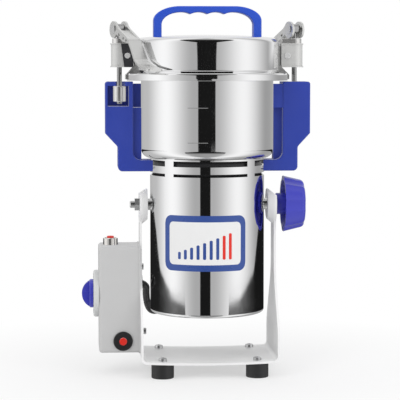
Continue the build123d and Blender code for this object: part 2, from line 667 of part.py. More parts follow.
with BuildPart() as reset_button:
    with BuildSketch(level(BOX_TOP - BOX_WALL - 1.5)) as reset_outline:
        with Locations((-BREAKER_X, 0)):
            Circle(RESET_RADIUS)
    extrude(amount=BOX_WALL + 1.5 + BREAKER_NUT_HEIGHT + RESET_PROUD)
    fillet(reset_button.edges().group_by(Axis.Z)[-1], 0.7)
save(reset_button.part, "reset_button")

# ---- push switch near the bottom of the box front
FRONT_Y = -BOX_DEPTH / 2
with BuildPart() as switch_bezel:
    with BuildSketch(upright(FRONT_Y)) as bezel_outline:
        with Locations((-SWITCH_X, SWITCH_Z)):
            Circle(SWITCH_BEZEL_RADIUS)
    extrude(amount=SWITCH_BEZEL_PROUD)
    fillet(switch_bezel.edges().group_by(Axis.Y)[0], 1.0)
    with BuildSketch(upright(FRONT_Y)) as switch_body:
        with Locations((-SWITCH_X, SWITCH_Z)):
            Circle(SWITCH_BODY_RADIUS)
    extrude(amount=-SWITCH_BODY_LENGTH)
    with BuildSketch(upright(FRONT_Y - SWITCH_BEZEL_PROUD - 1)) as button_bore:
        with Locations((-SWITCH_X, SWITCH_Z)):
            Circle(POWER_BUTTON_RADIUS + SHAFT_CLEARANCE)
    extrude(button_bore.sketch, amount=-SWITCH_BEZEL_PROUD - 1 - SWITCH_BODY_LENGTH / 2, mode=Mode.SUBTRACT)
save(switch_bezel.part, "switch_bezel")

with BuildPart() as power_button:
    with BuildSketch(upright(FRONT_Y - SWITCH_BEZEL_PROUD - POWER_BUTTON_PROUD)) as button_outline:
        with Locations((-SWITCH_X, SWITCH_Z)):
            Circle(POWER_BUTTON_RADIUS)
    button_length = (
        POWER_BUTTON_PROUD + SWITCH_BEZEL_PROUD + SWITCH_BODY_LENGTH / 2
        - POWER_BUTTON_TRAVEL - HAND_CLEARANCE
    )
    extrude(amount=-button_length)
    fillet(power_button.edges().group_by(Axis.Y)[0], 0.9)
save(power_button.part, "power_button")

# ---- strain relief for the mains lead, on the back of the box
with BuildPart() as mains_gland:
    with BuildSketch(upright(BOX_DEPTH / 2)) as gland_flange:
        with Locations((-MAINS_GLAND_X, MAINS_GLAND_Z)):
            Circle(MAINS_GLAND_RADIUS)
    extrude(amount=-5)
    with BuildSketch(upright(BOX_DEPTH / 2)) as gland_thread:
        with Locations((-MAINS_GLAND_X, MAINS_GLAND_Z)):
            Circle(MAINS_GLAND_RADIUS - 2)
    extrude(amount=BOX_WALL + 6)
    with BuildSketch(upright(BOX_DEPTH / 2 + 5)) as gland_nose:
        with Locations((-MAINS_GLAND_X, MAINS_GLAND_Z)):
            Circle(MAINS_GLAND_RADIUS - 1)
    extrude(amount=-7, taper=12)
    with BuildSketch(upright(BOX_DEPTH)) as gland_bore:
        with Locations((-MAINS_GLAND_X, MAINS_GLAND_Z)):
            Circle(MAINS_BORE_RADIUS)
    extrude(gland_bore.sketch, amount=BOX_DEPTH, mode=Mode.SUBTRACT)
save(mains_gland.part, "mains_gland")

# ================================================================ lead from the box to the motor
# The lead leaves the grommet in the left upright, drops beside the housing, turns up behind it and
# ends in a cowl on the housing's left rear.  The hanging bend is the slack that tilting needs.
COWL_REACH = HOUSING_RADIUS + COWL_RADIUS
COWL_CENTRE = (-COWL_REACH * sin(COWL_ANGLE), COWL_REACH * cos(COWL_ANGLE))
LEAD_POINTS = [
    (-STAND_INNER - 13.0, LEAD_EXIT_Y, LEAD_EXIT_Z),
    (-STAND_INNER + 5.8, LEAD_EXIT_Y, LEAD_EXIT_Z),
    (-68.1, 24.9, 83.7),
    (-65.8, 32.7, 69.4),
    (-60.1, 45.8, 61.1),
    (-49.2, 58.6, 61.1),
    (-36.6, 66.0, 69.4),
    (-28.4, 67.8, 83.7),
    (-26.5, 66.6, 103.0),
    (-28.4, 65.6, 124.0),
    (*COWL_CENTRE, COWL_BOTTOM - 17.0),
    (*COWL_CENTRE, COWL_BOTTOM),
]


def arc_radii(points):
    """Corner radii for a route: 0.45 of the shorter run over the tangent of half the turn."""
    radii = []
    for before, corner, after in zip(points, points[1:], points[2:]):
        run_in = Vector(corner) - Vector(before)
        run_out = Vector(after) - Vector(corner)
        turn = radians(run_in.get_angle(run_out))
        radii.append(0.45 * min(run_in.length, run_out.length) / tan(turn / 2))
    return radii


LEAD_RADII = arc_radii(LEAD_POINTS)
print("lead bend radii", [round(radius, 1) for radius in LEAD_RADII])

with BuildPart() as motor_lead:
    with BuildLine(Plane(origin=(AXIS_X, 0, 0))) as lead_route:
        FilletPolyline(*LEAD_POINTS, radius=LEAD_RADII)
    with BuildSketch(lead_route.line ^ 0) as lead_section:
        Circle(LEAD_RADIUS)
    sweep()
lead_length = sum(edge.length for edge in lead_route.edges())
print("lead length", round(lead_length, 1), "volume over section times length",
      round(motor_lead.part.volume / (pi * LEAD_RADIUS**2 * lead_length), 4))
save(motor_lead.part, "motor_lead")

# ---- grommet in the upright
with BuildPart() as lead_grommet:
    for start, length, radius in (
        (-BOX_BACK - GROMMET_LIP, GROMMET_LIP, GROMMET_RADIUS),
        (-BOX_BACK, BACK_PLATE + SHEET, GROMMET_HOLE),
        (-STAND_INNER, GROMMET_LIP, GROMMET_RADIUS),
    ):
        with BuildSketch(sideways(start, LEAD_EXIT_Z)) as grommet_step:
            with Locations((LEAD_EXIT_Y, 0)):
                Circle(radius)
                Circle(LEAD_RADIUS + GROMMET_PLAY, mode=Mode.SUBTRACT)
        extrude(amount=length)
    mill_face = lead_grommet.edges().filter_by(GeomType.CIRCLE).group_by(Axis.X)[-1]
    chamfer(mill_face.group_by(SortBy.RADIUS)[0], GROMMET_MOUTH)
save(lead_grommet.part, "lead_grommet")

# ---- cowl on the housing: the lead comes up into it from below, and a plug carries it through the wall
COWL_PLANE = Plane(
    origin=(AXIS_X, 0, 0),
    x_dir=(cos(COWL_ANGLE), sin(COWL_ANGLE), 0),
    z_dir=(sin(COWL_ANGLE), -cos(COWL_ANGLE), 0),
)
with BuildPart() as lead_gland:
    with BuildSketch(level(COWL_BOTTOM)) as cowl_section:
        with Locations(COWL_CENTRE):
            Circle(COWL_RADIUS)
        with Locations(Location((COWL_CENTRE[0], COWL_CENTRE[1], 0), (0, 0, 1), COWL_ANGLE * 180 / pi)):
            Rectangle(2 * COWL_RADIUS, 2 * COWL_RADIUS, align=(Align.CENTER, Align.MAX))
    extrude(amount=COWL_HEIGHT)
    fillet(lead_gland.edges().group_by(Axis.Z)[-1], 3)
    ring(0, BOWL_BOTTOM, HOUSING_RADIUS, mode=Mode.SUBTRACT)
    with BuildSketch(COWL_PLANE) as cowl_plug:
        with Locations((0, COWL_BOTTOM + COWL_HEIGHT / 2)):
            Circle(COWL_PLUG_RADIUS)
    extrude(cowl_plug.sketch, amount=-HOUSING_RADIUS - 1)
    ring(0, BOWL_BOTTOM, HOUSING_INNER, mode=Mode.SUBTRACT)
save(lead_gland.part, "lead_gland")

# ================================================================ motor housing
with BuildPart() as motor_housing:
    ring(HOUSING_BOTTOM, BOWL_BOTTOM, HOUSING_RADIUS)
    fillet(motor_housing.edges().group_by(Axis.Z)[0], HOUSING_CORNER)
    ring(HOUSING_BOTTOM + HOUSING_BASE_THICK, BOWL_BOTTOM, HOUSING_INNER, mode=Mode.SUBTRACT)
    # open underneath, with a narrow inward lip that carries the base cover
    ring(HOUSING_BOTTOM - 1, HOUSING_BOTTOM + 2 * HOUSING_BASE_THICK, HOUSING_INNER - 4, mode=Mode.SUBTRACT)
    # two rows of slots between posts
    for vent_z, vent_height in ((LOWER_VENT_Z, LOWER_VENT_HEIGHT), (UPPER_VENT_Z, UPPER_VENT_HEIGHT)):
        with BuildSketch(level(vent_z)) as vent_row:
            Circle(HOUSING_RADIUS + 1)
            Circle(HOUSING_INNER - 1, mode=Mode.SUBTRACT)
            with PolarLocations(HOUSING_RADIUS, VENT_POSTS, start_angle=180 / VENT_POSTS):
                Rectangle(HOUSING_RADIUS / 4, VENT_POST_WIDTH, mode=Mode.SUBTRACT)
        extrude(vent_row.sketch, amount=vent_height, mode=Mode.SUBTRACT)
    turned_on_x([(-HOUSING_RADIUS - 1, HOUSING_RADIUS + 1, PIVOT_BOLT_RADIUS)], PIVOT_Z, Mode.SUBTRACT)
    turned_on_x([(-HOUSING_RADIUS - 1, HOUSING_RADIUS + 1, ARM_SCREW_RADIUS)], ARM_SCREW_Z, Mode.SUBTRACT)
    with BuildSketch(COWL_PLANE) as plug_hole:
        with Locations((0, COWL_BOTTOM + COWL_HEIGHT / 2)):
            Circle(COWL_PLUG_RADIUS)
    extrude(plug_hole.sketch, amount=-HOUSING_RADIUS - 1, mode=Mode.SUBTRACT)
save(motor_housing.part, "motor_housing")

# ---- base cover, with air slots
with BuildPart() as housing_base:
    ring(HOUSING_BOTTOM + HOUSING_BASE_THICK, HOUSING_BOTTOM + 2 * HOUSING_BASE_THICK,
         HOUSING_INNER - HAND_CLEARANCE / 2)
    with BuildSketch(level(HOUSING_BOTTOM)) as air_slots:
        for row in range(-3, 4):
            with Locations((0, row * 11)):
                SlotOverall(2 * (HOUSING_INNER - 14) * cos(radians(12 * abs(row))), 4)
    extrude(air_slots.sketch, amount=4 * HOUSING_BASE_THICK, mode=Mode.SUBTRACT)
save(housing_base.part, "housing_base")

# ================================================================ pivot hardware
# ---- left: bolt from inside the housing, spacer, washer and lock nut outside the ear
WASHER_START = EAR_OUTER + SHAFT_CLEARANCE
NUT_START = WASHER_START + PIVOT_WASHER
BOLT_END = NUT_START + PIVOT_NUT_LENGTH + PIVOT_BOLT_PROUD
with BuildPart() as pivot_bolt:
    turned_on_x(
        [(-HOUSING_INNER - 1, -HOUSING_INNER + PIVOT_HEAD_LENGTH, PIVOT_HEAD_RADIUS)], PIVOT_Z
    )
    # the head follows the curve of the wall
    ring(HOUSING_BOTTOM, BOWL_BOTTOM, HOUSING_INNER, mode=Mode.INTERSECT)
    turned_on_x([(-BOLT_END, -HOUSING_INNER + 1, PIVOT_BOLT_RADIUS)], PIVOT_Z)
    chamfer(pivot_bolt.edges().group_by(Axis.X)[0], 0.8)
save(pivot_bolt.part, "pivot_bolt")

with BuildPart() as pivot_nut:
    with BuildSketch(sideways(-NUT_START - PIVOT_NUT_LENGTH, PIVOT_Z)) as hexagon:
        RegularPolygon(PIVOT_NUT_RADIUS, 6)
    extrude(amount=PIVOT_NUT_LENGTH)
    turned_on_x([(-NUT_START, -WASHER_START, PIVOT_WASHER_RADIUS)], PIVOT_Z)
    turned_on_x([(-NUT_START - PIVOT_NUT_LENGTH - 1, -WASHER_START + 1, PIVOT_BOLT_RADIUS)], PIVOT_Z,
                Mode.SUBTRACT)
save(pivot_nut.part, "pivot_nut")

# ---- a black spacer on each side, its inner end shaped to the housing
SPACER_END = EAR_INNER - SHAFT_CLEARANCE
with BuildPart() as pivot_spacers:
    turned_on_x([(-SPACER_END, -HOUSING_INNER, PIVOT_SPACER_RADIUS)], PIVOT_Z)
    turned_on_x([(HOUSING_INNER, SPACER_END, PIVOT_SPACER_RADIUS)], PIVOT_Z)
    ring(
        PIVOT_Z - 2 * PIVOT_SPACER_RADIUS, PIVOT_Z + 2 * PIVOT_SPACER_RADIUS, HOUSING_RADIUS,
        mode=Mode.SUBTRACT,
    )
    turned_on_x([(-EAR_INNER, EAR_INNER, PIVOT_BOLT_RADIUS)], PIVOT_Z, Mode.SUBTRACT)
save(pivot_spacers.part, "pivot_spacers")

# ---- right: fixed stud
with BuildPart() as lock_stud:
    turned_on_x(
        [(HOUSING_INNER - PIVOT_HEAD_LENGTH, HOUSING_INNER + 1, PIVOT_HEAD_RADIUS)], PIVOT_Z
    )
    ring(HOUSING_BOTTOM, BOWL_BOTTOM, HOUSING_INNER, mode=Mode.INTERSECT)
    turned_on_x([(HOUSING_INNER - 1, HOUSING_RADIUS + LOCK_STUD_LENGTH, PIVOT_BOLT_RADIUS)], PIVOT_Z)
    chamfer(lock_stud.edges().group_by(Axis.X)[-1], 0.8)
save(lock_stud.part, "lock_stud")

# ---- pressure sleeve that the knob pushes against the ear
SLEEVE_START = EAR_OUTER + SHAFT_CLEARANCE
SLEEVE_END = SLEEVE_START + PRESSURE_SLEEVE_LENGTH
with BuildPart() as lock_washer:
    turned_on_x(
        [
            (SLEEVE_START, SLEEVE_START + PIVOT_WASHER, PIVOT_WASHER_RADIUS),
            (SLEEVE_START + PIVOT_WASHER, SLEEVE_END, PRESSURE_SLEEVE_RADIUS),
        ],
        PIVOT_Z,
    )
    turned_on_x([(SLEEVE_START - 1, SLEEVE_END + 1, PIVOT_BOLT_RADIUS + SHAFT_CLEARANCE)], PIVOT_Z,
                Mode.SUBTRACT)
save(lock_washer.part, "lock_washer")

# ---- star knob: hub inside a lobed cup that is open towards the ear
HUB_START = SLEEVE_END + SHAFT_CLEARANCE
HEAD_START = HUB_START + KNOB_HUB_LENGTH - KNOB_WALL
HEAD_END = HEAD_START + KNOB_HEAD_DEPTH
with BuildPart() as lock_knob:
    with BuildSketch(sideways(HEAD_START, PIVOT_Z)) as head_root:
        Circle(KNOB_HEAD_RADIUS)
        with PolarLocations(KNOB_HEAD_RADIUS + KNOB_SCALLOP_RADIUS - KNOB_SCALLOP_DEPTH, KNOB_LOBES):
            Circle(KNOB_SCALLOP_RADIUS, mode=Mode.SUBTRACT)
    with BuildSketch(sideways(HEAD_END, PIVOT_Z)) as head_tip:
        shrink = KNOB_HEAD_END_RADIUS / KNOB_HEAD_RADIUS
        Circle(KNOB_HEAD_END_RADIUS)
        with PolarLocations((KNOB_HEAD_RADIUS + KNOB_SCALLOP_RADIUS - KNOB_SCALLOP_DEPTH) * shrink, KNOB_LOBES):
            Circle(KNOB_SCALLOP_RADIUS * shrink, mode=Mode.SUBTRACT)
    loft()
    fillet(lock_knob.faces().sort_by(Axis.X)[-1].edges(), 5.0)
    # hollow of the cup
    with BuildSketch(sideways(HEAD_START - 1, PIVOT_Z)) as cup_mouth:
        Circle(KNOB_HEAD_RADIUS - KNOB_SCALLOP_DEPTH - KNOB_WALL)
    extrude(cup_mouth.sketch, amount=KNOB_HEAD_DEPTH - KNOB_WALL - 3, taper=14, mode=Mode.SUBTRACT)
    turned_on_x([(HUB_START, HEAD_END - KNOB_WALL, KNOB_HUB_RADIUS)], PIVOT_Z)
    fillet(lock_knob.faces().sort_by(Axis.X)[0].edges(), 2.0)
    turned_on_x(
        [(HUB_START - 1, HOUSING_RADIUS + LOCK_STUD_LENGTH + 1, PIVOT_BOLT_RADIUS + SHAFT_CLEARANCE)],
        PIVOT_Z, Mode.SUBTRACT,
    )
save(lock_knob.part, "lock_knob")

# ================================================================ side arms
with BuildPart() as left_arm:
    with BuildSketch(upright(ARM_DEPTH / 2)) as arm_profile:
        with BuildLine():
            Polyline(
                (-ARM_OUTER, ARM_TOP),
                (-ARM_OUTER, ARM_KNEE_TOP),
                (-ARM_LOWER_OUTER, ARM_KNEE_BOTTOM),
                (-ARM_LOWER_OUTER, ARM_BOTTOM),
                (-HOUSING_RADIUS + 10, ARM_BOTTOM),
                (-HOUSING_RADIUS + 10, ARM_FOOT_TOP),
                (-ARM_INNER, ARM_FOOT_TOP),
                (-ARM_INNER, ARM_TOP),
                close=True,
            )
        make_face()
        knee = arm_profile.vertices().filter_by_position(Axis.X, -ARM_LOWER_OUTER - 0.1, -ARM_LOWER_OUTER + 0.1)
        fillet(knee, 5)
        throat = arm_profile.vertices().filter_by_position(Axis.X, -ARM_INNER - 0.1, -ARM_INNER + 0.1)
        fillet(throat.sort_by(Axis.Y)[0], 9)
        crest = arm_profile.vertices().filter_by_position(Axis.X, -ARM_OUTER - 0.1, -ARM_OUTER + 0.1)
        fillet(crest.sort_by(Axis.Y)[-1], 3)
    extrude(amount=ARM_DEPTH)
    fillet(left_arm.faces().filter_by(Axis.Y).edges(), ARM_EDGE)
    # saddle: a thinner web that closes the gap to the bowl
    with BuildSketch(upright(SADDLE_DEPTH / 2)) as saddle:
        with BuildLine():
            Polyline(
                (-ARM_INNER - 2, SADDLE_TOP),
                (-ARM_INNER - 2, ARM_BOTTOM + 2),
                (-HOUSING_RADIUS + 10, ARM_BOTTOM + 2),
                (-HOUSING_RADIUS + 10, SADDLE_TOP),
                close=True,
            )
        make_face()
    extrude(amount=SADDLE_DEPTH)
    with BuildSketch(upright(ARM_DEPTH / 2 - WEB_INSET)) as web:
        with BuildLine():
            Polyline(
                (-ARM_INNER - 2, WEB_TOP),
                (-ARM_INNER - 2, SADDLE_TOP),
                (-BOWL_RADIUS + 10, SADDLE_TOP),
                (-BOWL_RADIUS + 10, WEB_TOP),
                close=True,
            )
        make_face()
    extrude(web.sketch, amount=WEB_THICK)
    # room for the bowl and its rounded bottom, and the seat on the housing
    with BuildSketch(upright()) as bowl_room:
        with BuildLine():
            Polyline(
                (0, BOWL_BOTTOM - SADDLE_GAP - 1.7),
                (BOWL_RADIUS + SADDLE_GAP, BOWL_BOTTOM - SADDLE_GAP - 1.7),
                (BOWL_RADIUS + SADDLE_GAP, ARM_TOP + 1),
                (0, ARM_TOP + 1),
                close=True,
            )
        make_face()
    revolve(bowl_room.sketch, axis=MILL_AXIS, mode=Mode.SUBTRACT)
    ring(ARM_BOTTOM - 1, BOWL_BOTTOM, HOUSING_RADIUS, mode=Mode.SUBTRACT)
    # window for the rod and barrel, open to the front
    window_depth = ARM_DEPTH - WINDOW_BACK
    with BuildSketch(upright(-ARM_DEPTH / 2 - 1)) as window:
        with BuildLine():
            Polyline(
                (-ARM_OUTER + WINDOW_WALL, WINDOW_FLOOR),
                (-ARM_OUTER + WINDOW_WALL, WINDOW_ROOF),
                (-WINDOW_INNER, WINDOW_ROOF),
                (-WINDOW_INNER, WINDOW_FLOOR),
                close=True,
            )
        make_face()
    extrude(window.sketch, amount=-window_depth - 1, mode=Mode.SUBTRACT)
    # slot in the roof for the rod
    with BuildSketch(level(WINDOW_ROOF - 1)) as rod_slot:
        with Locations((-ROD_REACH, 0)):
            Circle(ROD_SLOT_WIDTH / 2)
        with Locations((-ROD_REACH + 0.5, -ARM_DEPTH / 2)):
            Rectangle(ROD_SLOT_WIDTH + 1, ARM_DEPTH)
    extrude(rod_slot.sketch, amount=ARM_ROOF + 2, mode=Mode.SUBTRACT)
    # hole for the screw from inside the housing
    turned_on_x([(-HOUSING_RADIUS - ARM_SCREW_LENGTH, 0, ARM_SCREW_RADIUS)], ARM_SCREW_Z, Mode.SUBTRACT)
save(left_arm.part, "left_arm")

with BuildPart() as right_arm:
    add(opposite(left_arm.part))
save(right_arm.part, "right_arm")

with BuildPart() as arm_screws:
    turned_on_x(
        [
            (-HOUSING_RADIUS - ARM_SCREW_LENGTH, -ARM_SCREW_SEAT, ARM_SCREW_RADIUS),
            (-ARM_SCREW_SEAT, -ARM_SCREW_SEAT + ARM_SCREW_HEAD_HEIGHT, ARM_SCREW_HEAD),
        ],
        ARM_SCREW_Z,
    )
    fillet(arm_screws.edges().group_by(Axis.X)[-1], 1.2)
    add(opposite(arm_screws.part))
save(arm_screws.part, "arm_screws")

# ================================================================ bowl
with BuildPart() as bowl:
    ring(BOWL_BOTTOM, BOWL_FLANGE_Z, BOWL_RADIUS)
    fillet(bowl.edges().group_by(Axis.Z)[0], BOWL_CORNER)
    ring(BOWL_FLANGE_Z, FLANGE_TOP, FLANGE_RADIUS)
    with BuildSketch(upright()) as bowl_hollow:
        with BuildLine():
            Polyline(
                (0, BOWL_BOTTOM + BOWL_WALL),
                (BOWL_INNER, BOWL_BOTTOM + BOWL_WALL),
                (BOWL_INNER, FLANGE_TOP + 1),
                (0, FLANGE_TOP + 1),
                close=True,
            )
        make_face()
        inner_corner = bowl_hollow.vertices().group_by(Axis.Y)[0].sort_by(Axis.X)[-1]
        fillet(inner_corner, BOWL_CORNER - BOWL_WALL)
    revolve(bowl_hollow.sketch, axis=MILL_AXIS, mode=Mode.SUBTRACT)
    ring(BOWL_BOTTOM - 1, BOWL_BOTTOM + 5, BOWL_NUT_RADIUS - 3, mode=Mode.SUBTRACT)
save(bowl.part, "bowl")

# ---- ring nut that clamps the bowl on the upper end bell and seals the spindle
with BuildPart() as bowl_nut:
    ring(BOWL_BOTTOM + BOWL_WALL, BOWL_BOTTOM + BOWL_WALL + BOWL_NUT_HEIGHT, BOWL_NUT_RADIUS)
    chamfer(bowl_nut.edges().group_by(Axis.Z)[-1], 1.0)
    ring(BOWL_BOTTOM, BOWL_BOTTOM + BOWL_WALL, BOWL_NUT_RADIUS - 3)
    ring(BOWL_BOTTOM - 1, BOWL_BOTTOM + 10, SHAFT_RADIUS + SHAFT_CLEARANCE, mode=Mode.SUBTRACT)
save(bowl_nut.part, "bowl_nut")

# ================================================================ motor
# ---- upper end bell: lid of the housing and seat of the upper bearing
with BuildPart() as upper_end_bell:
    ring(BOWL_BOTTOM - END_BELL_THICK, BOWL_BOTTOM, HOUSING_INNER)
    ring(UPPER_BEARING_Z, BOWL_BOTTOM, BEARING_RADIUS + BELL_HUB_WALL)
    ring(UPPER_BEARING_Z - 1, UPPER_BEARING_Z + BEARING_HEIGHT, BEARING_RADIUS, mode=Mode.SUBTRACT)
    ring(UPPER_BEARING_Z - 1, BOWL_BOTTOM + 1, SHAFT_RADIUS + 1, mode=Mode.SUBTRACT)
save(upper_end_bell.part, "upper_end_bell")

# ---- lower end bell: a plate with air holes and the lower bearing's cup
with BuildPart() as lower_end_bell:
    ring(LOWER_BELL_Z - END_BELL_THICK, LOWER_BELL_Z, HOUSING_INNER)
    with BuildSketch(level(LOWER_BELL_Z - 2 * END_BELL_THICK)) as bell_holes:
        with PolarLocations((HOUSING_INNER + BEARING_RADIUS) / 2, 8):
            Circle(BELL_VENT_RADIUS)
    extrude(bell_holes.sketch, amount=4 * END_BELL_THICK, mode=Mode.SUBTRACT)
    ring(LOWER_BEARING_Z - 2, LOWER_BELL_Z, BEARING_RADIUS + BELL_HUB_WALL)
    ring(LOWER_BEARING_Z, LOWER_BELL_Z + 1, BEARING_RADIUS, mode=Mode.SUBTRACT)
    ring(LOWER_BEARING_Z - 4, LOWER_BELL_Z, SHAFT_RADIUS + 1, mode=Mode.SUBTRACT)
save(lower_end_bell.part, "lower_end_bell")

# ---- ball bearings, as closed rings
for bearing_name, bearing_z in (("upper_bearing", UPPER_BEARING_Z), ("lower_bearing", LOWER_BEARING_Z)):
    with BuildPart() as bearing:
        ring(bearing_z, bearing_z + BEARING_HEIGHT, BEARING_RADIUS, SHAFT_RADIUS + SHAFT_CLEARANCE)
        for groove_z in (bearing_z - 1, bearing_z + BEARING_HEIGHT - 0.8):
            ring(groove_z, groove_z + 1.8, BEARING_RADIUS - 3, SHAFT_RADIUS + 3, mode=Mode.SUBTRACT)
    save(bearing.part, bearing_name)

# ---- stator: laminated stack with winding slots, held by four ribs against the housing
with BuildPart() as stator:
    with BuildSketch(level(STATOR_BOTTOM)) as lamination:
        Circle(STATOR_RADIUS)
        Circle(STATOR_BORE, mode=Mode.SUBTRACT)
        with PolarLocations((STATOR_RADIUS + STATOR_BORE) / 2, STATOR_SLOTS):
            SlotOverall((STATOR_RADIUS - STATOR_BORE) * 0.6, 5, mode=Mode.SUBTRACT)
        with PolarLocations((STATOR_RADIUS + HOUSING_INNER) / 2 - 1, 4, start_angle=45):
            Rectangle(HOUSING_INNER - STATOR_RADIUS + 1, 10)
    extrude(amount=STATOR_HEIGHT)
    ring(STATOR_BOTTOM - 1, STATOR_BOTTOM + STATOR_HEIGHT + 1, HOUSING_RADIUS + 10, HOUSING_INNER,
         mode=Mode.SUBTRACT)
save(stator.part, "stator")

# ---- brush holders and carbon brushes, one pair on each side of the commutator
with BuildPart() as brush_gear:
    brush_middle = COMMUTATOR_Z + COMMUTATOR_HEIGHT / 2
    brush_start = COMMUTATOR_RADIUS + BRUSH_GAP
    for side in (0, 180):
        with BuildSketch(level(brush_middle - BRUSH_WIDTH / 2)) as brush:
            with PolarLocations(brush_start + BRUSH_LENGTH / 2, 1, start_angle=side):
                Rectangle(BRUSH_LENGTH, BRUSH_WIDTH)
        extrude(brush.sketch, amount=BRUSH_WIDTH)
    ring(0, BOWL_BOTTOM, brush_start, mode=Mode.SUBTRACT)
    for side in (0, 180):
        with BuildSketch(level(LOWER_BELL_Z)) as holder:
            with PolarLocations(brush_start + BRUSH_LENGTH / 2 + 2, 1, start_angle=side):
                Rectangle(BRUSH_LENGTH - 2, BRUSH_WIDTH + 5)
        extrude(holder.sketch, amount=brush_middle - BRUSH_WIDTH / 2 - LOWER_BELL_Z)
save(brush_gear.part, "brush_gear")

# ================================================================ spindle
with BuildPart() as shaft:
    ring(SHAFT_BOTTOM, SHAFT_TOP, SHAFT_RADIUS)
    chamfer(shaft.edges().group_by(Axis.Z)[-1], 1.0)
save(shaft.part, "shaft")

with BuildPart() as armature:
    with BuildSketch(level(STATOR_BOTTOM - ARMATURE_OVERHANG)) as windings:
        Circle(STATOR_BORE - ARMATURE_GAP - 5)
        Circle(SHAFT_RADIUS, mode=Mode.SUBTRACT)
    extrude(amount=STATOR_HEIGHT + 2 * ARMATURE_OVERHANG)
    fillet(armature.edges().group_by(Axis.Z)[-1].sort_by(SortBy.LENGTH)[-1], 4)
    with BuildSketch(level(STATOR_BOTTOM)) as core:
        Circle(STATOR_BORE - ARMATURE_GAP)
        Circle(SHAFT_RADIUS, mode=Mode.SUBTRACT)
        with PolarLocations(STATOR_BORE - ARMATURE_GAP, STATOR_SLOTS):
            Rectangle(5, 1.6, mode=Mode.SUBTRACT)
    extrude(amount=STATOR_HEIGHT)
save(armature.part, "armature")

with BuildPart() as commutator:
    ring(COMMUTATOR_Z, COMMUTATOR_Z + COMMUTATOR_HEIGHT, COMMUTATOR_RADIUS, SHAFT_RADIUS)
save(commutator.part, "commutator")

with BuildPart() as cooling_fan:
    ring(FAN_Z, FAN_Z + FAN_DISC, FAN_RADIUS)
    ring(FAN_Z, FAN_Z + FAN_HEIGHT, FAN_HUB_RADIUS)
    with BuildSketch(level(FAN_Z + FAN_DISC)) as vanes:
        with PolarLocations((FAN_RADIUS + FAN_HUB_RADIUS) / 2, FAN_BLADES):
            Rectangle(FAN_RADIUS - FAN_HUB_RADIUS - 2, 1.6, rotation=20)
    extrude(amount=FAN_HEIGHT - FAN_DISC)
    ring(FAN_Z - 1, FAN_Z + FAN_HEIGHT + 1, SHAFT_RADIUS, mode=Mode.SUBTRACT)
save(cooling_fan.part, "cooling_fan")


def blade_outline(root_z):
    """Side view of a blade: a flat bar whose tips are bent up."""
    half = BLADE_LENGTH / 2
    knee = half - BLADE_TIP_LENGTH
    return [
        (-half, root_z + BLADE_TIP_RISE),
        (-knee, root_z),
        (knee, root_z),
        (half, root_z + BLADE_TIP_RISE),
        (half, root_z + BLADE_TIP_RISE + BLADE_THICK),
        (knee, root_z + BLADE_THICK),
        (-knee, root_z + BLADE_THICK),
        (-half, root_z + BLADE_TIP_RISE + BLADE_THICK),
    ]


with BuildPart() as lower_blade:
    with BuildSketch(upright()) as lower_bar:
        with BuildLine():
            Polyline(*blade_outline(LOWER_BLADE_Z), close=True)
        make_face()
    extrude(amount=BLADE_WIDTH / 2, both=True)
    ring(LOWER_BLADE_Z - 1, LOWER_BLADE_Z + BLADE_THICK + 1, SHAFT_RADIUS, mode=Mode.SUBTRACT)
save(lower_blade.part, "lower_blade")

with BuildPart() as upper_blade:
    with BuildSketch(sideways(0)) as upper_bar:
        with BuildLine():
            Polyline(*blade_outline(UPPER_BLADE_Z), close=True)
        make_face()
    extrude(amount=BLADE_WIDTH / 2, both=True)
    ring(UPPER_BLADE_Z - 1, UPPER_BLADE_Z + BLADE_THICK + 1, SHAFT_RADIUS, mode=Mode.SUBTRACT)
save(upper_blade.part, "upper_blade")

# ---- spacer between the blades and the nut on top of the spindle
BLADE_STACK_TOP = UPPER_BLADE_Z + BLADE_THICK
with BuildPart() as blade_clamps:
    ring(LOWER_BLADE_Z + BLADE_THICK, UPPER_BLADE_Z, BLADE_SPACER_RADIUS, SHAFT_RADIUS)
    with BuildSketch(level(BLADE_STACK_TOP)) as blade_nut:
        RegularPolygon(BLADE_NUT_RADIUS, 6)
        Circle(SHAFT_RADIUS, mode=Mode.SUBTRACT)
    extrude(amount=BLADE_NUT_HEIGHT)
save(blade_clamps.part, "blade_clamps")

# ================================================================ lid
def lid_form(shrink, foot):
    """Solid with the lid's shape, drawn in by a wall thickness and running down to a height."""
    with BuildPart() as form:
        with BuildSketch(upright()) as half:
            with BuildLine():
                wall = LID_RADIUS - shrink
                skirt = SKIRT_RADIUS - shrink
                crown = LID_EDGE_Z + LID_CROWN - shrink
                slope_drop = shrink * tan(SHOULDER_BEND / 2)
                ThreePointArc(
                    (0, crown), (wall / 2, crown - LID_CROWN / 4), (wall, LID_EDGE_Z - shrink)
                )
                Polyline(
                    (wall, LID_EDGE_Z - shrink),
                    (wall, SHOULDER_TOP - slope_drop),
                    (skirt, SKIRT_TOP - slope_drop),
                    (skirt, foot),
                    (0, foot),
                    (0, crown),
                )
            make_face()
            edge_z = LID_EDGE_Z - shrink
            rim = half.vertices().filter_by_position(Axis.Y, edge_z - 0.1, edge_z + 0.1)
            fillet(rim, LID_CORNER - shrink)
        revolve(half.sketch, axis=MILL_AXIS)
    return form.part


lid_outside = lid_form(0, SKIRT_BOTTOM)
handle_seat = lid_form(-SHAFT_CLEARANCE / 2, SKIRT_BOTTOM)
lid_inside = lid_form(LID_WALL, SKIRT_BOTTOM - 1)

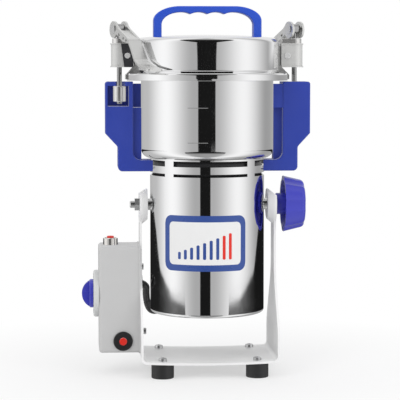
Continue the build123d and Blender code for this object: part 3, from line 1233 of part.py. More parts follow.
# ---- pressed lid: skirt, sloping shoulder, straight wall and a crowned top
with BuildPart() as lid_shell:
    add(lid_outside)
    add(lid_inside, mode=Mode.SUBTRACT)
    with BuildSketch(level(SHOULDER_TOP)) as lid_holes:
        with Locations((-HANDLE_LEG_X, 0), (HANDLE_LEG_X, 0)):
            Circle(HANDLE_SCREW_RADIUS)
    extrude(lid_holes.sketch, amount=HANDLE_TOP - SHOULDER_TOP, mode=Mode.SUBTRACT)
save(lid_shell.part, "lid_shell")

# ---- gasket: a ring inside the lid that seals on the bowl's flange
with BuildPart() as lid_gasket:
    ring(FLANGE_TOP + SHAFT_CLEARANCE, SHOULDER_TOP - LID_WALL, SKIRT_RADIUS, BOWL_INNER)
    add(lid_inside, mode=Mode.INTERSECT)
save(lid_gasket.part, "lid_gasket")

# ---- carrying handle: a bar on two legs, with finger hollows under the bar
CURVE_PULL = 0.5523         # a curve with its handles pulled this far is a quarter of an ellipse


def arched(start, corner, end):
    """Quarter of an ellipse between two straight runs that would meet in a corner."""
    pulls = [
        tuple(a + (b - a) * CURVE_PULL for a, b in zip(point, corner)) for point in (start, end)
    ]
    Bezier(start, *pulls, end)


def hollow(middle, start, end, crest, radius):
    """Arc of a finger hollow, from one distance off its middle to another."""
    ThreePointArc(
        *[
            (middle + offset, crest - radius + sqrt(radius**2 - offset**2))
            for offset in (start, (start + end) / 2, end)
        ]
    )


with BuildPart() as lid_handle:
    leg_foot = LID_EDGE_Z - 2
    outer_half = HANDLE_LENGTH / 2
    inner_half = outer_half - HANDLE_LEG
    hollow_crest = HANDLE_TOP - HANDLE_BAR + HANDLE_HOLLOW_DEPTH
    hollow_radius = (HANDLE_HOLLOW_PITCH**2 / 4 + HANDLE_HOLLOW_DEPTH**2) / (2 * HANDLE_HOLLOW_DEPTH)
    last_hollow = HANDLE_RIDGES * HANDLE_HOLLOW_PITCH / 2
    with BuildSketch(upright(HANDLE_DEPTH / 2)) as handle_profile:
        with BuildLine():
            arch_foot = HANDLE_TOP - HANDLE_ARCH_DROP
            arch_end = outer_half - HANDLE_ARCH_REACH
            for side in (-1, 1):
                arched(
                    (side * outer_half, arch_foot),
                    (side * outer_half, HANDLE_TOP),
                    (side * arch_end, HANDLE_TOP),
                )
                Line((side * outer_half, arch_foot), (side * outer_half, leg_foot))
                Line((side * outer_half, leg_foot), (side * inner_half, leg_foot))
                inner_foot = arch_foot - HANDLE_LEG / 2
                Line((side * inner_half, leg_foot), (side * inner_half, inner_foot))
                arched(
                    (side * inner_half, inner_foot),
                    (side * inner_half, hollow_crest),
                    (side * last_hollow, hollow_crest),
                )
                hollow(side * last_hollow, 0, -side * HANDLE_HOLLOW_PITCH / 2, hollow_crest, hollow_radius)
            Line((-arch_end, HANDLE_TOP), (arch_end, HANDLE_TOP))
            for index in range(HANDLE_RIDGES - 1):
                middle = -last_hollow + (index + 1) * HANDLE_HOLLOW_PITCH
                hollow(
                    middle, -HANDLE_HOLLOW_PITCH / 2, HANDLE_HOLLOW_PITCH / 2, hollow_crest, hollow_radius
                )
        make_face()
        ridge_line = HANDLE_TOP - HANDLE_BAR
        ridges = handle_profile.vertices().filter_by_position(Axis.Y, ridge_line - 0.1, ridge_line + 0.1)
        fillet(ridges, HANDLE_RIDGE_RADIUS)
    extrude(amount=HANDLE_DEPTH)
    sides = lid_handle.faces().filter_by(Axis.Y).edges()
    fillet(sides.filter_by_position(Axis.Z, leg_foot + 1, HANDLE_TOP), HANDLE_EDGE)
    add(handle_seat, mode=Mode.SUBTRACT)
    with BuildSketch(level(SHOULDER_TOP)) as handle_holes:
        with Locations((-HANDLE_LEG_X, 0), (HANDLE_LEG_X, 0)):
            Circle(HANDLE_SCREW_RADIUS)
    extrude(
        handle_holes.sketch, amount=LID_EDGE_Z + HANDLE_SCREW_LENGTH - SHOULDER_TOP, mode=Mode.SUBTRACT
    )
save(lid_handle.part, "lid_handle")

# ---- screws up into the handle from inside the lid
with BuildPart() as handle_screws:
    for leg_x in (-HANDLE_LEG_X, HANDLE_LEG_X):
        with BuildSketch(level(LID_EDGE_Z - LID_WALL - 2)) as handle_screw_head:
            with Locations((leg_x, 0)):
                Circle(2 * HANDLE_SCREW_RADIUS)
        extrude(amount=LID_CROWN + 2)
    add(lid_inside, mode=Mode.INTERSECT)
    with BuildSketch(level(LID_EDGE_Z - LID_WALL - 1)) as handle_screw_shank:
        with Locations((-HANDLE_LEG_X, 0), (HANDLE_LEG_X, 0)):
            Circle(HANDLE_SCREW_RADIUS)
    extrude(amount=LID_WALL + HANDLE_SCREW_LENGTH)
save(handle_screws.part, "handle_screws")

# ================================================================ clamps
# The left clamp is drawn and the right one is the same turned half a turn about the mill axis.
LEVER_DIRECTION = (sin(radians(LEVER_ANGLE)), -cos(radians(LEVER_ANGLE)), 0)
PIN_DIRECTION = (cos(radians(LEVER_ANGLE)), sin(radians(LEVER_ANGLE)), 0)
PIN_POINT = (AXIS_X - ROD_REACH, 0, PIN_Z)
LEVER_PLANE = Plane(origin=PIN_POINT, x_dir=LEVER_DIRECTION, z_dir=tuple(-part for part in PIN_DIRECTION))
LEVER_PLAN = Plane(origin=PIN_POINT, x_dir=LEVER_DIRECTION, z_dir=(0, 0, 1))
TONGUE_BOTTOM = BLOCK_BOTTOM + 4
TONGUE_TOP = BLOCK_TOP - 4.6


def block_section(height, grow):
    """Plan section of a clamp block, bigger or smaller all round: round about the rod, square to the lid."""
    radius = BLOCK_RADIUS + grow
    inner = BLOCK_INNER - (grow if grow < 0 else 0)
    with BuildSketch(level(height)) as section:
        with Locations((-ROD_REACH, 0)):
            Circle(radius)
        with Locations((-(ROD_REACH + inner) / 2, 0)):
            Rectangle(ROD_REACH - inner, 2 * radius)
    return section.sketch


# ---- clamp blocks
with BuildPart() as latch_blocks:
    extrude(block_section(BLOCK_BOTTOM, 0), amount=BLOCK_TOP - BLOCK_BOTTOM)
    extrude(block_section(BLOCK_BOTTOM, BLOCK_LIP), amount=BLOCK_LIP_THICK)
    extrude(block_section(BLOCK_TOP - BLOCK_LIP_THICK, BLOCK_LIP), amount=BLOCK_LIP_THICK)
    # the foot clears the bracket where it follows the lid's shoulder
    slope_clear = (BRACKET_THICK + HAND_CLEARANCE) * tan(BRACKET_BEND / 2)
    turned(
        [
            (0, BRACKET_KNEE + slope_clear),
            (LID_RADIUS + BRACKET_THICK + HAND_CLEARANCE, BRACKET_KNEE + slope_clear),
            (SKIRT_RADIUS + BRACKET_THICK + HAND_CLEARANCE, SKIRT_TOP + slope_clear),
            (0, SKIRT_TOP + slope_clear),
        ],
        mode=Mode.SUBTRACT,
    )
    with BuildSketch(level(BLOCK_BOTTOM - 1)) as tongue_slot:
        with Locations((-(TONGUE_REACH + BLOCK_INNER - 1) / 2, 0)):
            Rectangle(TONGUE_REACH - BLOCK_INNER + 1 + 2 * HAND_CLEARANCE, TONGUE_THICK + HAND_CLEARANCE)
    extrude(tongue_slot.sketch, amount=TONGUE_TOP + HAND_CLEARANCE - BLOCK_BOTTOM + 1, mode=Mode.SUBTRACT)
    with BuildSketch(level(BLOCK_BOTTOM - 1)) as rod_bore:
        with Locations((-ROD_REACH, 0)):
            Circle(ROD_RADIUS + SHAFT_CLEARANCE)
    extrude(rod_bore.sketch, amount=PIN_Z - BLOCK_BOTTOM, mode=Mode.SUBTRACT)
    with BuildSketch(upright(BLOCK_RADIUS + 3)) as block_screw_hole:
        with Locations((-BLOCK_SCREW_X, BLOCK_SCREW_Z)):
            Circle(BLOCK_SCREW_RADIUS)
    extrude(block_screw_hole.sketch, amount=2 * BLOCK_RADIUS + 6, mode=Mode.SUBTRACT)
    add(opposite(latch_blocks.part))
save(latch_blocks.part, "latch_blocks")

# ---- brackets welded to the lid: a strap over wall, shoulder and skirt, with a tongue for the block
with BuildPart() as latch_brackets:
    slope_rise = BRACKET_THICK * tan(BRACKET_BEND / 2)
    turned(
        [
            (LID_RADIUS - 5, TONGUE_TOP + 2),
            (LID_RADIUS + BRACKET_THICK, TONGUE_TOP + 2),
            (LID_RADIUS + BRACKET_THICK, BRACKET_KNEE + slope_rise),
            (SKIRT_RADIUS + BRACKET_THICK, SKIRT_TOP + slope_rise),
            (SKIRT_RADIUS + BRACKET_THICK, SKIRT_BOTTOM + 1.4),
            (LID_RADIUS - 5, SKIRT_BOTTOM + 1.4),
        ]
    )
    add(lid_outside, mode=Mode.SUBTRACT)
    ring(0, HANDLE_TOP, LID_RADIUS - 1, mode=Mode.SUBTRACT)
    with BuildSketch(level(SKIRT_BOTTOM)) as strap_width:
        Rectangle(4 * SKIRT_RADIUS, BRACKET_WIDTH)
    extrude(strap_width.sketch, amount=HANDLE_TOP - SKIRT_BOTTOM, mode=Mode.INTERSECT)
    for side in (-1, 1):
        with BuildSketch(level(TONGUE_BOTTOM)) as tongue:
            with Locations((side * (LID_RADIUS + 1 + TONGUE_REACH) / 2, 0)):
                Rectangle(TONGUE_REACH - LID_RADIUS - 1, TONGUE_THICK)
        extrude(tongue.sketch, amount=TONGUE_TOP - TONGUE_BOTTOM)
        with BuildSketch(upright(BLOCK_RADIUS)) as tongue_hole:
            with Locations((side * BLOCK_SCREW_X, BLOCK_SCREW_Z)):
                Circle(BLOCK_SCREW_RADIUS)
        extrude(tongue_hole.sketch, amount=2 * BLOCK_RADIUS, mode=Mode.SUBTRACT)
save(latch_brackets.part, "latch_brackets")

# ---- cross screws through the blocks and tongues
with BuildPart() as latch_screws:
    with BuildSketch(upright(BLOCK_RADIUS)) as cross_shank:
        with Locations((-BLOCK_SCREW_X, BLOCK_SCREW_Z)):
            Circle(BLOCK_SCREW_RADIUS)
    extrude(amount=2 * BLOCK_RADIUS)
    for head_y in (BLOCK_RADIUS + BLOCK_SCREW_HEAD_HEIGHT, -BLOCK_RADIUS):
        with BuildSketch(upright(head_y)) as cross_head:
            with Locations((-BLOCK_SCREW_X, BLOCK_SCREW_Z)):
                Circle(BLOCK_SCREW_HEAD)
        extrude(amount=BLOCK_SCREW_HEAD_HEIGHT)
    rims = latch_screws.edges().group_by(Axis.Y)
    chamfer(rims[0] + rims[-1], 0.5)
    add(opposite(latch_screws.part))
save(latch_screws.part, "latch_screws")

# ---- pads that the cams bear on
with BuildPart() as thrust_pads:
    extrude(block_section(BLOCK_TOP, -BLOCK_LIP_THICK), amount=PAD_TOP - BLOCK_TOP)
    chamfer(thrust_pads.edges().group_by(Axis.Z)[-1], 0.5)
    with BuildSketch(level(BLOCK_TOP - 1)) as pad_bore:
        with Locations((-ROD_REACH, 0)):
            Circle(ROD_RADIUS + BOLT_CLEARANCE)
    extrude(pad_bore.sketch, amount=PAD_TOP - BLOCK_TOP + 2, mode=Mode.SUBTRACT)
    add(opposite(thrust_pads.part))
save(thrust_pads.part, "thrust_pads")

# ---- hook rods: a round rod with a cross eye on top
with BuildPart() as left_hook_rod:
    with BuildSketch(level(ROD_BOTTOM)) as rod_section:
        with Locations((-ROD_REACH, 0)):
            Circle(ROD_RADIUS)
    extrude(amount=PIN_Z - ROD_BOTTOM)
    chamfer(left_hook_rod.edges().group_by(Axis.Z)[0], 0.6)
    with BuildSketch(LEVER_PLANE) as eye:
        Circle(EYE_RADIUS)
    extrude(amount=EYE_WIDTH / 2, both=True)
    with BuildSketch(LEVER_PLANE) as eye_bore:
        Circle(PIN_RADIUS + SHAFT_CLEARANCE)
    extrude(eye_bore.sketch, amount=EYE_WIDTH, both=True, mode=Mode.SUBTRACT)
save(left_hook_rod.part, "left_hook_rod")

with BuildPart() as right_hook_rod:
    add(opposite(left_hook_rod.part))
save(right_hook_rod.part, "right_hook_rod")

# ---- barrel nuts that bear under the roof of the arms
with BuildPart() as left_barrel_nut:
    with BuildSketch(level(BARREL_TOP - BARREL_HEIGHT)) as barrel_section:
        with Locations((-ROD_REACH, 0)):
            Circle(BARREL_RADIUS)
            Circle(ROD_RADIUS, mode=Mode.SUBTRACT)
    extrude(amount=BARREL_HEIGHT)
    outer_rims = left_barrel_nut.edges().filter_by(GeomType.CIRCLE).group_by(SortBy.RADIUS)[-1]
    chamfer(outer_rims, 0.7)
save(left_barrel_nut.part, "left_barrel_nut")

with BuildPart() as right_barrel_nut:
    add(opposite(left_barrel_nut.part))
save(right_barrel_nut.part, "right_barrel_nut")

# ---- levers: a formed strap between two cheeks whose ends are the cams
LEVER_UNIT = LEVER_REACH / 90


def on_lever(*points):
    """Points of the lever's outline, which grow with its reach."""
    return [(along * LEVER_UNIT, up * LEVER_UNIT) for along, up in points]


with BuildPart() as left_lever:
    with BuildSketch(LEVER_PLANE) as strap_side:
        with BuildLine():
            FilletPolyline(
                *on_lever((12, -2.0), (37.5, -11.4), (55, -34.6), (66, -40.0), (90, -44.8)),
                radius=[bend * LEVER_UNIT for bend in (11, 9, 22)],
            )
            offset(amount=LEVER_THICK, side=Side.RIGHT, closed=True)
        make_face()
    extrude(amount=LEVER_TIP_WIDTH, both=True)
    with BuildSketch(LEVER_PLAN) as strap_plan:
        with BuildLine():
            half = LEVER_WIDTH / 2
            near, neck, waist, tip = (share * LEVER_UNIT for share in (10, 44, 62, 91))
            flare = half + 0.6 * LEVER_UNIT
            Polyline(
                (near, -half), (neck, -half), (waist, -flare), (tip, -LEVER_TIP_WIDTH / 2),
                (tip, LEVER_TIP_WIDTH / 2), (waist, flare), (neck, half), (near, half), close=True,
            )
        make_face()
        fillet(strap_plan.vertices().group_by(Axis.X)[-1], 6 * LEVER_UNIT)
    extrude(strap_plan.sketch, amount=LEVER_TIP_WIDTH * 3, both=True, mode=Mode.INTERSECT)
    for inner_side in (-LEVER_WIDTH / 2, LEVER_WIDTH / 2 - CHEEK_THICK):
        with BuildSketch(LEVER_PLANE.offset(inner_side)) as cheek:
            with Locations((0, -CAM_THROW)):
                Circle(CAM_RADIUS)
            with BuildLine():
                Polyline(
                    (0, CAM_RADIUS - CAM_THROW),
                    *on_lever(
                        (6, 5.4), (12, 0.4), (22, -4.2), (38, -11.8), (38, -16.5), (24, -14.6), (8, -6.0),
                        (-2, -6.0),
                    ),
                    close=True,
                )
            make_face()
            with Locations((0, 0)):
                Circle(PIN_RADIUS, mode=Mode.SUBTRACT)
            with Locations(*on_lever((15, -6.6))):
                Circle(2.0 * LEVER_UNIT, mode=Mode.SUBTRACT)
            with Locations(*on_lever((25.7, -11.0), (33.0, -13.4))):
                Circle(1.5 * LEVER_UNIT, mode=Mode.SUBTRACT)
        extrude(cheek.sketch, amount=CHEEK_THICK)
save(left_lever.part, "left_lever")

with BuildPart() as right_lever:
    add(opposite(left_lever.part))
save(right_lever.part, "right_lever")

# ---- lever pins, headed at both ends
with BuildPart() as left_lever_pin:
    pin_half = LEVER_WIDTH / 2
    with BuildSketch(LEVER_PLANE) as pin_section:
        Circle(PIN_RADIUS)
    extrude(amount=pin_half, both=True)
    for pin_end in (-pin_half - PIN_HEAD_THICK, pin_half):
        with BuildSketch(LEVER_PLANE.offset(pin_end)) as pin_head:
            Circle(PIN_HEAD_RADIUS)
        extrude(amount=PIN_HEAD_THICK)
save(left_lever_pin.part, "left_lever_pin")

with BuildPart() as right_lever_pin:
    add(opposite(left_lever_pin.part))
save(right_lever_pin.part, "right_lever_pin")
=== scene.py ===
# %% [markdown]
# # A tilting grain mill, dressed for a studio picture
# The mill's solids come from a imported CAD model, all in one frame, in metres. This file gives them
# their finishes, adds the small pieces that a solid leaves out, and sets up floor, light and
# camera. Each step is a cell, so that it can be run and looked at on its own.

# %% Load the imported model
import math

import bmesh
import bpy
from mathutils import Matrix, Vector


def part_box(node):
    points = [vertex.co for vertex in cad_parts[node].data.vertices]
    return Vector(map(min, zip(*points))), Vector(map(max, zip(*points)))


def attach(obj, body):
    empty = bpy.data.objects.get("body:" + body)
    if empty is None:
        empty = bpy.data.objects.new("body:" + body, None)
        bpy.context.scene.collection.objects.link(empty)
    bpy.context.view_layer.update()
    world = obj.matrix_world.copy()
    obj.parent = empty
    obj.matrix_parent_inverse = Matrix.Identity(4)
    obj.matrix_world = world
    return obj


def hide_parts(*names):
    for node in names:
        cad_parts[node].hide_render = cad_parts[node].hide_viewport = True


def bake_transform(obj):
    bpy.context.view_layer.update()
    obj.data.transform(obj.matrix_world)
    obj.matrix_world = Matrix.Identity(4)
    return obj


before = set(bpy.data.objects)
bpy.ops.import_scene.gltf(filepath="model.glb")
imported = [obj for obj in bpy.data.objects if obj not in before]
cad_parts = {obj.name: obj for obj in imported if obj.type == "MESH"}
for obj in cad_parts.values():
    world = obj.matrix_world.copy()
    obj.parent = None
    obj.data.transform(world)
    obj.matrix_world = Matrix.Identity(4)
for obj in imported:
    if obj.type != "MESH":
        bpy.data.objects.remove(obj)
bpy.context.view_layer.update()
MM = 0.001
mill_x = sum(corner.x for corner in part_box("motor_housing")) / 2
print("nodes", len(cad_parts), "mill axis at x =", round(mill_x / MM, 2), "mm")

# %% [markdown]
# ## Camera
# A product picture is taken with a long lens from well back, so that upright lines stay nearly
# parallel. The camera stands slightly to the left, just below the lid's height, and looks a little
# down. Its lens could be typed in millimetres. Here it follows from the focal length in pixels of a
# picture of a known width, which is what one can measure in a finished picture.

# %% Camera
VIEW_DISTANCE = 1.9
VIEW_HEIGHT = 347.6 * MM
VIEW_TURN = math.radians(4.41)
FOCAL_PIXELS, PICTURE_PIXELS, SENSOR_WIDTH = 1694, 400, 36
aim = Vector((mill_x - 7.95 * MM, 0, 193.4 * MM))
camera = bpy.data.objects.new("camera", bpy.data.cameras.new("camera"))
bpy.context.scene.collection.objects.link(camera)
camera.location = (
    mill_x - VIEW_DISTANCE * math.sin(VIEW_TURN), -VIEW_DISTANCE * math.cos(VIEW_TURN), VIEW_HEIGHT
)
camera.rotation_euler = (aim - camera.location).to_track_quat("-Z", "Y").to_euler()
camera.data.sensor_width = SENSOR_WIDTH
camera.data.lens = SENSOR_WIDTH * FOCAL_PIXELS / PICTURE_PIXELS
bpy.context.scene.camera = camera
print("lens", round(camera.data.lens, 1), "mm")

# %% [markdown]
# ## Motor lead
# The lead leaves the box through a grommet, hangs in a short bight and climbs into a cowl behind
# the motor. Its line could be drawn point by point. A smooth spline needs only a dozen points and
# has no corners, so it is drawn as a curve first, turned into a row of points, and the curve is
# thrown away.

# %% Route of the lead
LEAD_DIAMETER = 8 * MM
lead_points = [
    (-87, 8, 100), (-68.2, 8, 100), (-68.1, 24.9, 83.7), (-65.8, 32.7, 69.4), (-60.1, 45.8, 61.1),
    (-49.2, 58.6, 61.1), (-36.6, 66, 69.4), (-28.4, 67.8, 83.7), (-26.5, 66.6, 103),
    (-28.4, 65.6, 124), (-26.98, 65.13, 146), (-26.98, 65.13, 163),
]
lead_points = [Vector((mill_x + x * MM, y * MM, z * MM)) for x, y, z in lead_points]
route_data = bpy.data.curves.new("lead_route", "CURVE")
route_data.dimensions = "3D"
route = route_data.splines.new("NURBS")
route.points.add(len(lead_points) - 1)
for knot, place in zip(route.points, lead_points):
    knot.co = (*place, 1)
route.order_u = 3
route.use_endpoint_u = True
route_data.resolution_u = 40
route_object = bpy.data.objects.new("lead_route", route_data)
bpy.context.scene.collection.objects.link(route_object)
bpy.context.view_layer.update()
depsgraph = bpy.context.evaluated_depsgraph_get()
route_mesh = bpy.data.meshes.new_from_object(
    route_object.evaluated_get(depsgraph), depsgraph=depsgraph
)
lead_path = [vertex.co.copy() for vertex in route_mesh.vertices]
bpy.data.objects.remove(route_object)
lead_length = sum((b - a).length for a, b in zip(lead_path, lead_path[1:]))
print("lead", round(lead_length / MM, 1), "mm along", len(lead_path), "points")

# %% [markdown]
# ### From a form to a piece
# Small pieces are built as a bmesh, Blender's editable mesh, because it can be filled face by
# face. One helper then turns it into an object, gives it its finish and ties it to the body it
# moves with.


# %% Helper: a piece from a form
def from_form(name, form, body, skin=None, smooth=True):
    """Turns a bmesh into an object in place, riding on a body if one is named, and frees it."""
    mesh = bpy.data.meshes.new(name)
    bmesh.ops.recalc_face_normals(form, faces=form.faces)
    form.to_mesh(mesh)
    form.free()
    mesh.polygons.foreach_set("use_smooth", [smooth] * len(mesh.polygons))
    if skin:
        mesh.materials.append(skin)
    piece = bpy.data.objects.new(name, mesh)
    bpy.context.scene.collection.objects.link(piece)
    if body:
        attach(piece, body)
    return piece


# %% [markdown]
# ### A tube with a groove
# The real lead is a bundle of wires held by a spiral wrap. A curve with a round bevel would give a
# plain hose. A tube made ring by ring can have another radius at every point, so the wrap's edge
# becomes a real helical groove that also shows in the outline.


# %% Helpers: even steps and a sleeve along a line
def even_steps(points, step):
    """The same line in even steps, with the distance along it."""
    line, gone, target = [(points[0], 0.0)], 0.0, step
    for a, b in zip(points, points[1:]):
        span = (b - a).length
        while span > 0 and gone + span >= target:
            line.append((a.lerp(b, (target - gone) / span), target))
            target += step
        gone += span
    return line


def sleeve(points, step, around, radius_at):
    """A closed tube along a line. radius_at(distance, turn) gives its radius at each point."""
    form = bmesh.new()
    line = even_steps(points, step)
    side = Vector((0, 0, 1))
    rings = []
    for index, (place, distance) in enumerate(line):
        after, before = line[min(index + 1, len(line) - 1)][0], line[max(index - 1, 0)][0]
        ahead = (after - before).normalized()
        side = (side - ahead * side.dot(ahead)).normalized()
        other = ahead.cross(side)
        ring = []
        for turn in (2 * math.pi * k / around for k in range(around)):
            out_way = side * math.cos(turn) + other * math.sin(turn)
            ring.append(form.verts.new(place + out_way * radius_at(distance, turn)))
        rings.append(ring)
    for near, far in zip(rings, rings[1:]):
        for k in range(around):
            form.faces.new((near[k], near[(k + 1) % around], far[(k + 1) % around], far[k]))
    form.faces.new(rings[0][::-1])
    form.faces.new(rings[-1])
    return form


# %% Lead with its spiral wrap
WRAP_PITCH = 7.5 * MM
WRAP_GROOVE = 0.45 * MM
GROOVE_SHARE = 0.11
RING_STEP, RING_POINTS = 0.5 * MM, 28


def wrapped_radius(distance, turn):
    """Full radius, less a narrow dip where the edge of the wrap passes."""
    phase = (distance / WRAP_PITCH - turn / (2 * math.pi)) % 1.0
    dip = max(0.0, 1 - abs(phase - 0.5) / GROOVE_SHARE)
    return LEAD_DIAMETER / 2 - WRAP_GROOVE * dip ** 1.5


lead_form = sleeve(lead_path, RING_STEP, RING_POINTS, wrapped_radius)
lead = from_form("motor_lead_wrap", lead_form, None)
print("lead vertices", len(lead.data.vertices))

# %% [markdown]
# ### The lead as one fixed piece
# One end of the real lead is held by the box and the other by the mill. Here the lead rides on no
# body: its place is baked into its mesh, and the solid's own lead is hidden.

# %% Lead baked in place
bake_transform(lead)
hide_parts("motor_lead")

# %% [markdown]
# ## Finishes
# Every finish is one node tree: a base colour that drifts a little, a roughness that isn't even,
# and a fine bump at the real scale of the surface. Image textures could do it too, but noise needs
# no files and has no seams. Object coordinates are metres here, so a noise scale of 1000 means
# grains about a millimetre across.

# %% Helper: a finish
BLOTCH_SCALE = 40
NOISE_LOW, NOISE_HIGH = 0.35, 0.65


def noise(tree, scale, detail, coordinate):
    """A noise texture fed with a coordinate."""
    made = tree.nodes.new("ShaderNodeTexNoise")
    made.inputs["Scale"].default_value = scale
    made.inputs["Detail"].default_value = detail
    tree.links.new(coordinate, made.inputs["Vector"])
    return made.outputs["Fac"]


def finish(name, colour, rough=(0.3, 0.4), metal=0.0, grain=900.0, bump=0.02, drift=0.03,
           depth=0.0002, stretch=(1, 1, 1)):
    """A material. Drift is a share of the colour, rough is (least, most), depth is the bump's."""
    material = bpy.data.materials.new(name)
    material.use_nodes = True
    tree = material.node_tree
    shader = tree.nodes["Principled BSDF"]
    shader.inputs["Metallic"].default_value = metal
    place = tree.nodes.new("ShaderNodeTexCoord").outputs["Object"]
    blotches = noise(tree, BLOTCH_SCALE, 5, place)

    paint = tree.nodes.new("ShaderNodeMix")
    paint.data_type = "RGBA"
    paint.inputs["A"].default_value = (*(max(0.0, part * (1 - drift)) for part in colour), 1)
    paint.inputs["B"].default_value = (*(min(1.0, part * (1 + drift)) for part in colour), 1)
    tree.links.new(blotches, paint.inputs["Factor"])
    tree.links.new(paint.outputs["Result"], shader.inputs["Base Color"])

    gloss = tree.nodes.new("ShaderNodeMapRange")
    limits = {"From Min": NOISE_LOW, "From Max": NOISE_HIGH, "To Min": rough[0], "To Max": rough[1]}
    for slot, value in limits.items():
        gloss.inputs[slot].default_value = value
    tree.links.new(blotches, gloss.inputs["Value"])
    tree.links.new(gloss.outputs["Result"], shader.inputs["Roughness"])

    spread = tree.nodes.new("ShaderNodeMapping")
    spread.inputs["Scale"].default_value = stretch
    tree.links.new(place, spread.inputs["Vector"])
    relief = tree.nodes.new("ShaderNodeBump")
    relief.inputs["Strength"].default_value = bump
    relief.inputs["Distance"].default_value = depth
    tree.links.new(noise(tree, grain, 4, spread.outputs["Vector"]), relief.inputs["Height"])
    tree.links.new(relief.outputs["Normal"], shader.inputs["Normal"])
    return material


# %% [markdown]
# ### Metals
# The bowl, lid and motor can are polished like a mirror, so nearly all of their look is the studio
# around them. A trace of roughness and a very faint ripple keep them from looking computed. Plated
# and turned parts are duller, each with its own grain.

# %% Metals
FINE = 0.0001
mirror_steel = finish("mirror_steel", (0.88, 0.88, 0.885), rough=(0.03, 0.055), metal=1.0,
                      grain=30, bump=0.2, drift=0.008, depth=0.00003)
strip_steel = finish("strip_steel", (0.76, 0.76, 0.75), rough=(0.3, 0.4), metal=1.0,
                     grain=900, bump=0.08, drift=0.04, depth=FINE)
block_zinc = finish("block_zinc", (0.66, 0.66, 0.65), rough=(0.35, 0.45), metal=0.3,
                    grain=1100, bump=0.06, drift=0.03, depth=FINE)
screw_zinc = finish("screw_zinc", (0.80, 0.80, 0.80), rough=(0.3, 0.4), metal=0.4,
                    grain=1500, bump=0.06, drift=0.04, depth=FINE)
turned_steel = finish("turned_steel", (0.74, 0.74, 0.74), rough=(0.2, 0.3), metal=1.0,
                      grain=1200, bump=0.06, drift=0.05, depth=FINE)
rod_steel = finish("rod_steel", (0.42, 0.42, 0.42), rough=(0.16, 0.24), metal=1.0,
                   grain=1200, bump=0.05, drift=0.05, depth=FINE)
satin_chrome = finish("satin_chrome", (0.84, 0.83, 0.82), rough=(0.26, 0.36), metal=1.0,
                      grain=1000, bump=0.05, drift=0.03, depth=FINE)
zinc = finish("zinc", (0.66, 0.665, 0.67), rough=(0.28, 0.42), metal=1.0,
              grain=1500, bump=0.08, drift=0.08, depth=FINE)
nickel = finish("nickel", (0.80, 0.78, 0.75), rough=(0.08, 0.14), metal=1.0,
                grain=700, bump=0.02, drift=0.02)
cast_alloy = finish("cast_alloy", (0.55, 0.55, 0.55), rough=(0.45, 0.6), metal=0.9,
                    grain=800, bump=0.3, drift=0.08)
# Painted shade: the black of the upper end bell and of the vent ring keeps the motor's inside dark
# where it shows through the vents.
vent_shade_black = finish("vent_shade_black", (0.03, 0.03, 0.032), rough=(0.35, 0.5), metal=0.4,
                    grain=900, bump=0.2, drift=0.15)
core_steel = finish("core_steel", (0.16, 0.15, 0.14), rough=(0.4, 0.6), metal=0.7,
                    grain=1500, bump=0.3, stretch=(0.1, 0.1, 3))
brass = finish("brass", (0.62, 0.45, 0.19), rough=(0.25, 0.35), metal=1.0, grain=900, bump=0.05)
copper = finish("copper", (0.72, 0.38, 0.22), rough=(0.25, 0.35), metal=1.0, grain=900, bump=0.05)
print("metals ready,", len(bpy.data.materials), "materials so far")

# %% [markdown]
# ### Paint, plastic and rubber
# Powder coat has a soft pebbled skin. The moulded parts are satin, with a slight drift of colour
# from the way the plastic flowed. Rubber is dull and a little dusty.

# %% Paint
stand_coat = finish("stand_coat", (0.87, 0.87, 0.87), rough=(0.34, 0.46),
                    grain=1400, bump=0.22, drift=0.012, depth=0.00012)
box_coat = finish("box_coat", (0.55, 0.55, 0.55), rough=(0.34, 0.44),
                  grain=1700, bump=0.3, drift=0.015, depth=0.00012)
dial_grey = finish("dial_grey", (0.62, 0.63, 0.63), rough=(0.35, 0.45),
                   grain=1200, bump=0.1, drift=0.02)
arm_blue = finish("arm_blue", (0.020, 0.048, 0.37), rough=(0.34, 0.44),
                  grain=1900, bump=0.12, drift=0.05, depth=FINE)
print("paints ready,", len(bpy.data.materials), "materials so far")

# %% Plastic and rubber
handle_blue = finish("handle_blue", (0.022, 0.085, 0.58), rough=(0.24, 0.34),
                     grain=1700, bump=0.08, drift=0.05, depth=FINE)
knob_violet = finish("knob_violet", (0.045, 0.050, 0.46), rough=(0.2, 0.3),
                     grain=1500, bump=0.08, drift=0.05, depth=FINE)
foot_rubber = finish("foot_rubber", (0.022, 0.022, 0.023), rough=(0.5, 0.65),
                     grain=1300, bump=0.3, drift=0.2)
wrap_black = finish("wrap_black", (0.012, 0.012, 0.013), rough=(0.22, 0.34),
                    grain=500, bump=0.35, drift=0.2, depth=0.0004)
switch_black = finish("switch_black", (0.02, 0.02, 0.021), rough=(0.3, 0.42),
                      grain=1500, bump=0.15, drift=0.1)
pad_black = finish("pad_black", (0.035, 0.035, 0.04), rough=(0.35, 0.5),
                   grain=1500, bump=0.15, drift=0.1)
button_red = finish("button_red", (0.72, 0.022, 0.012), rough=(0.2, 0.3),
                    grain=1500, bump=0.05, drift=0.06)
seal_white = finish("seal_white", (0.72, 0.71, 0.68), rough=(0.5, 0.6),
                    grain=1500, bump=0.1, drift=0.03)
lead.data.materials.append(wrap_black)
print("plastics ready,", len(bpy.data.materials), "materials so far")

# %% [markdown]
# ### Who wears what
# The solids arrive without a finish. One table says which nodes wear which, so that a finish is
# changed in one place. Pieces inside the can get theirs too, for whoever takes the mill apart.

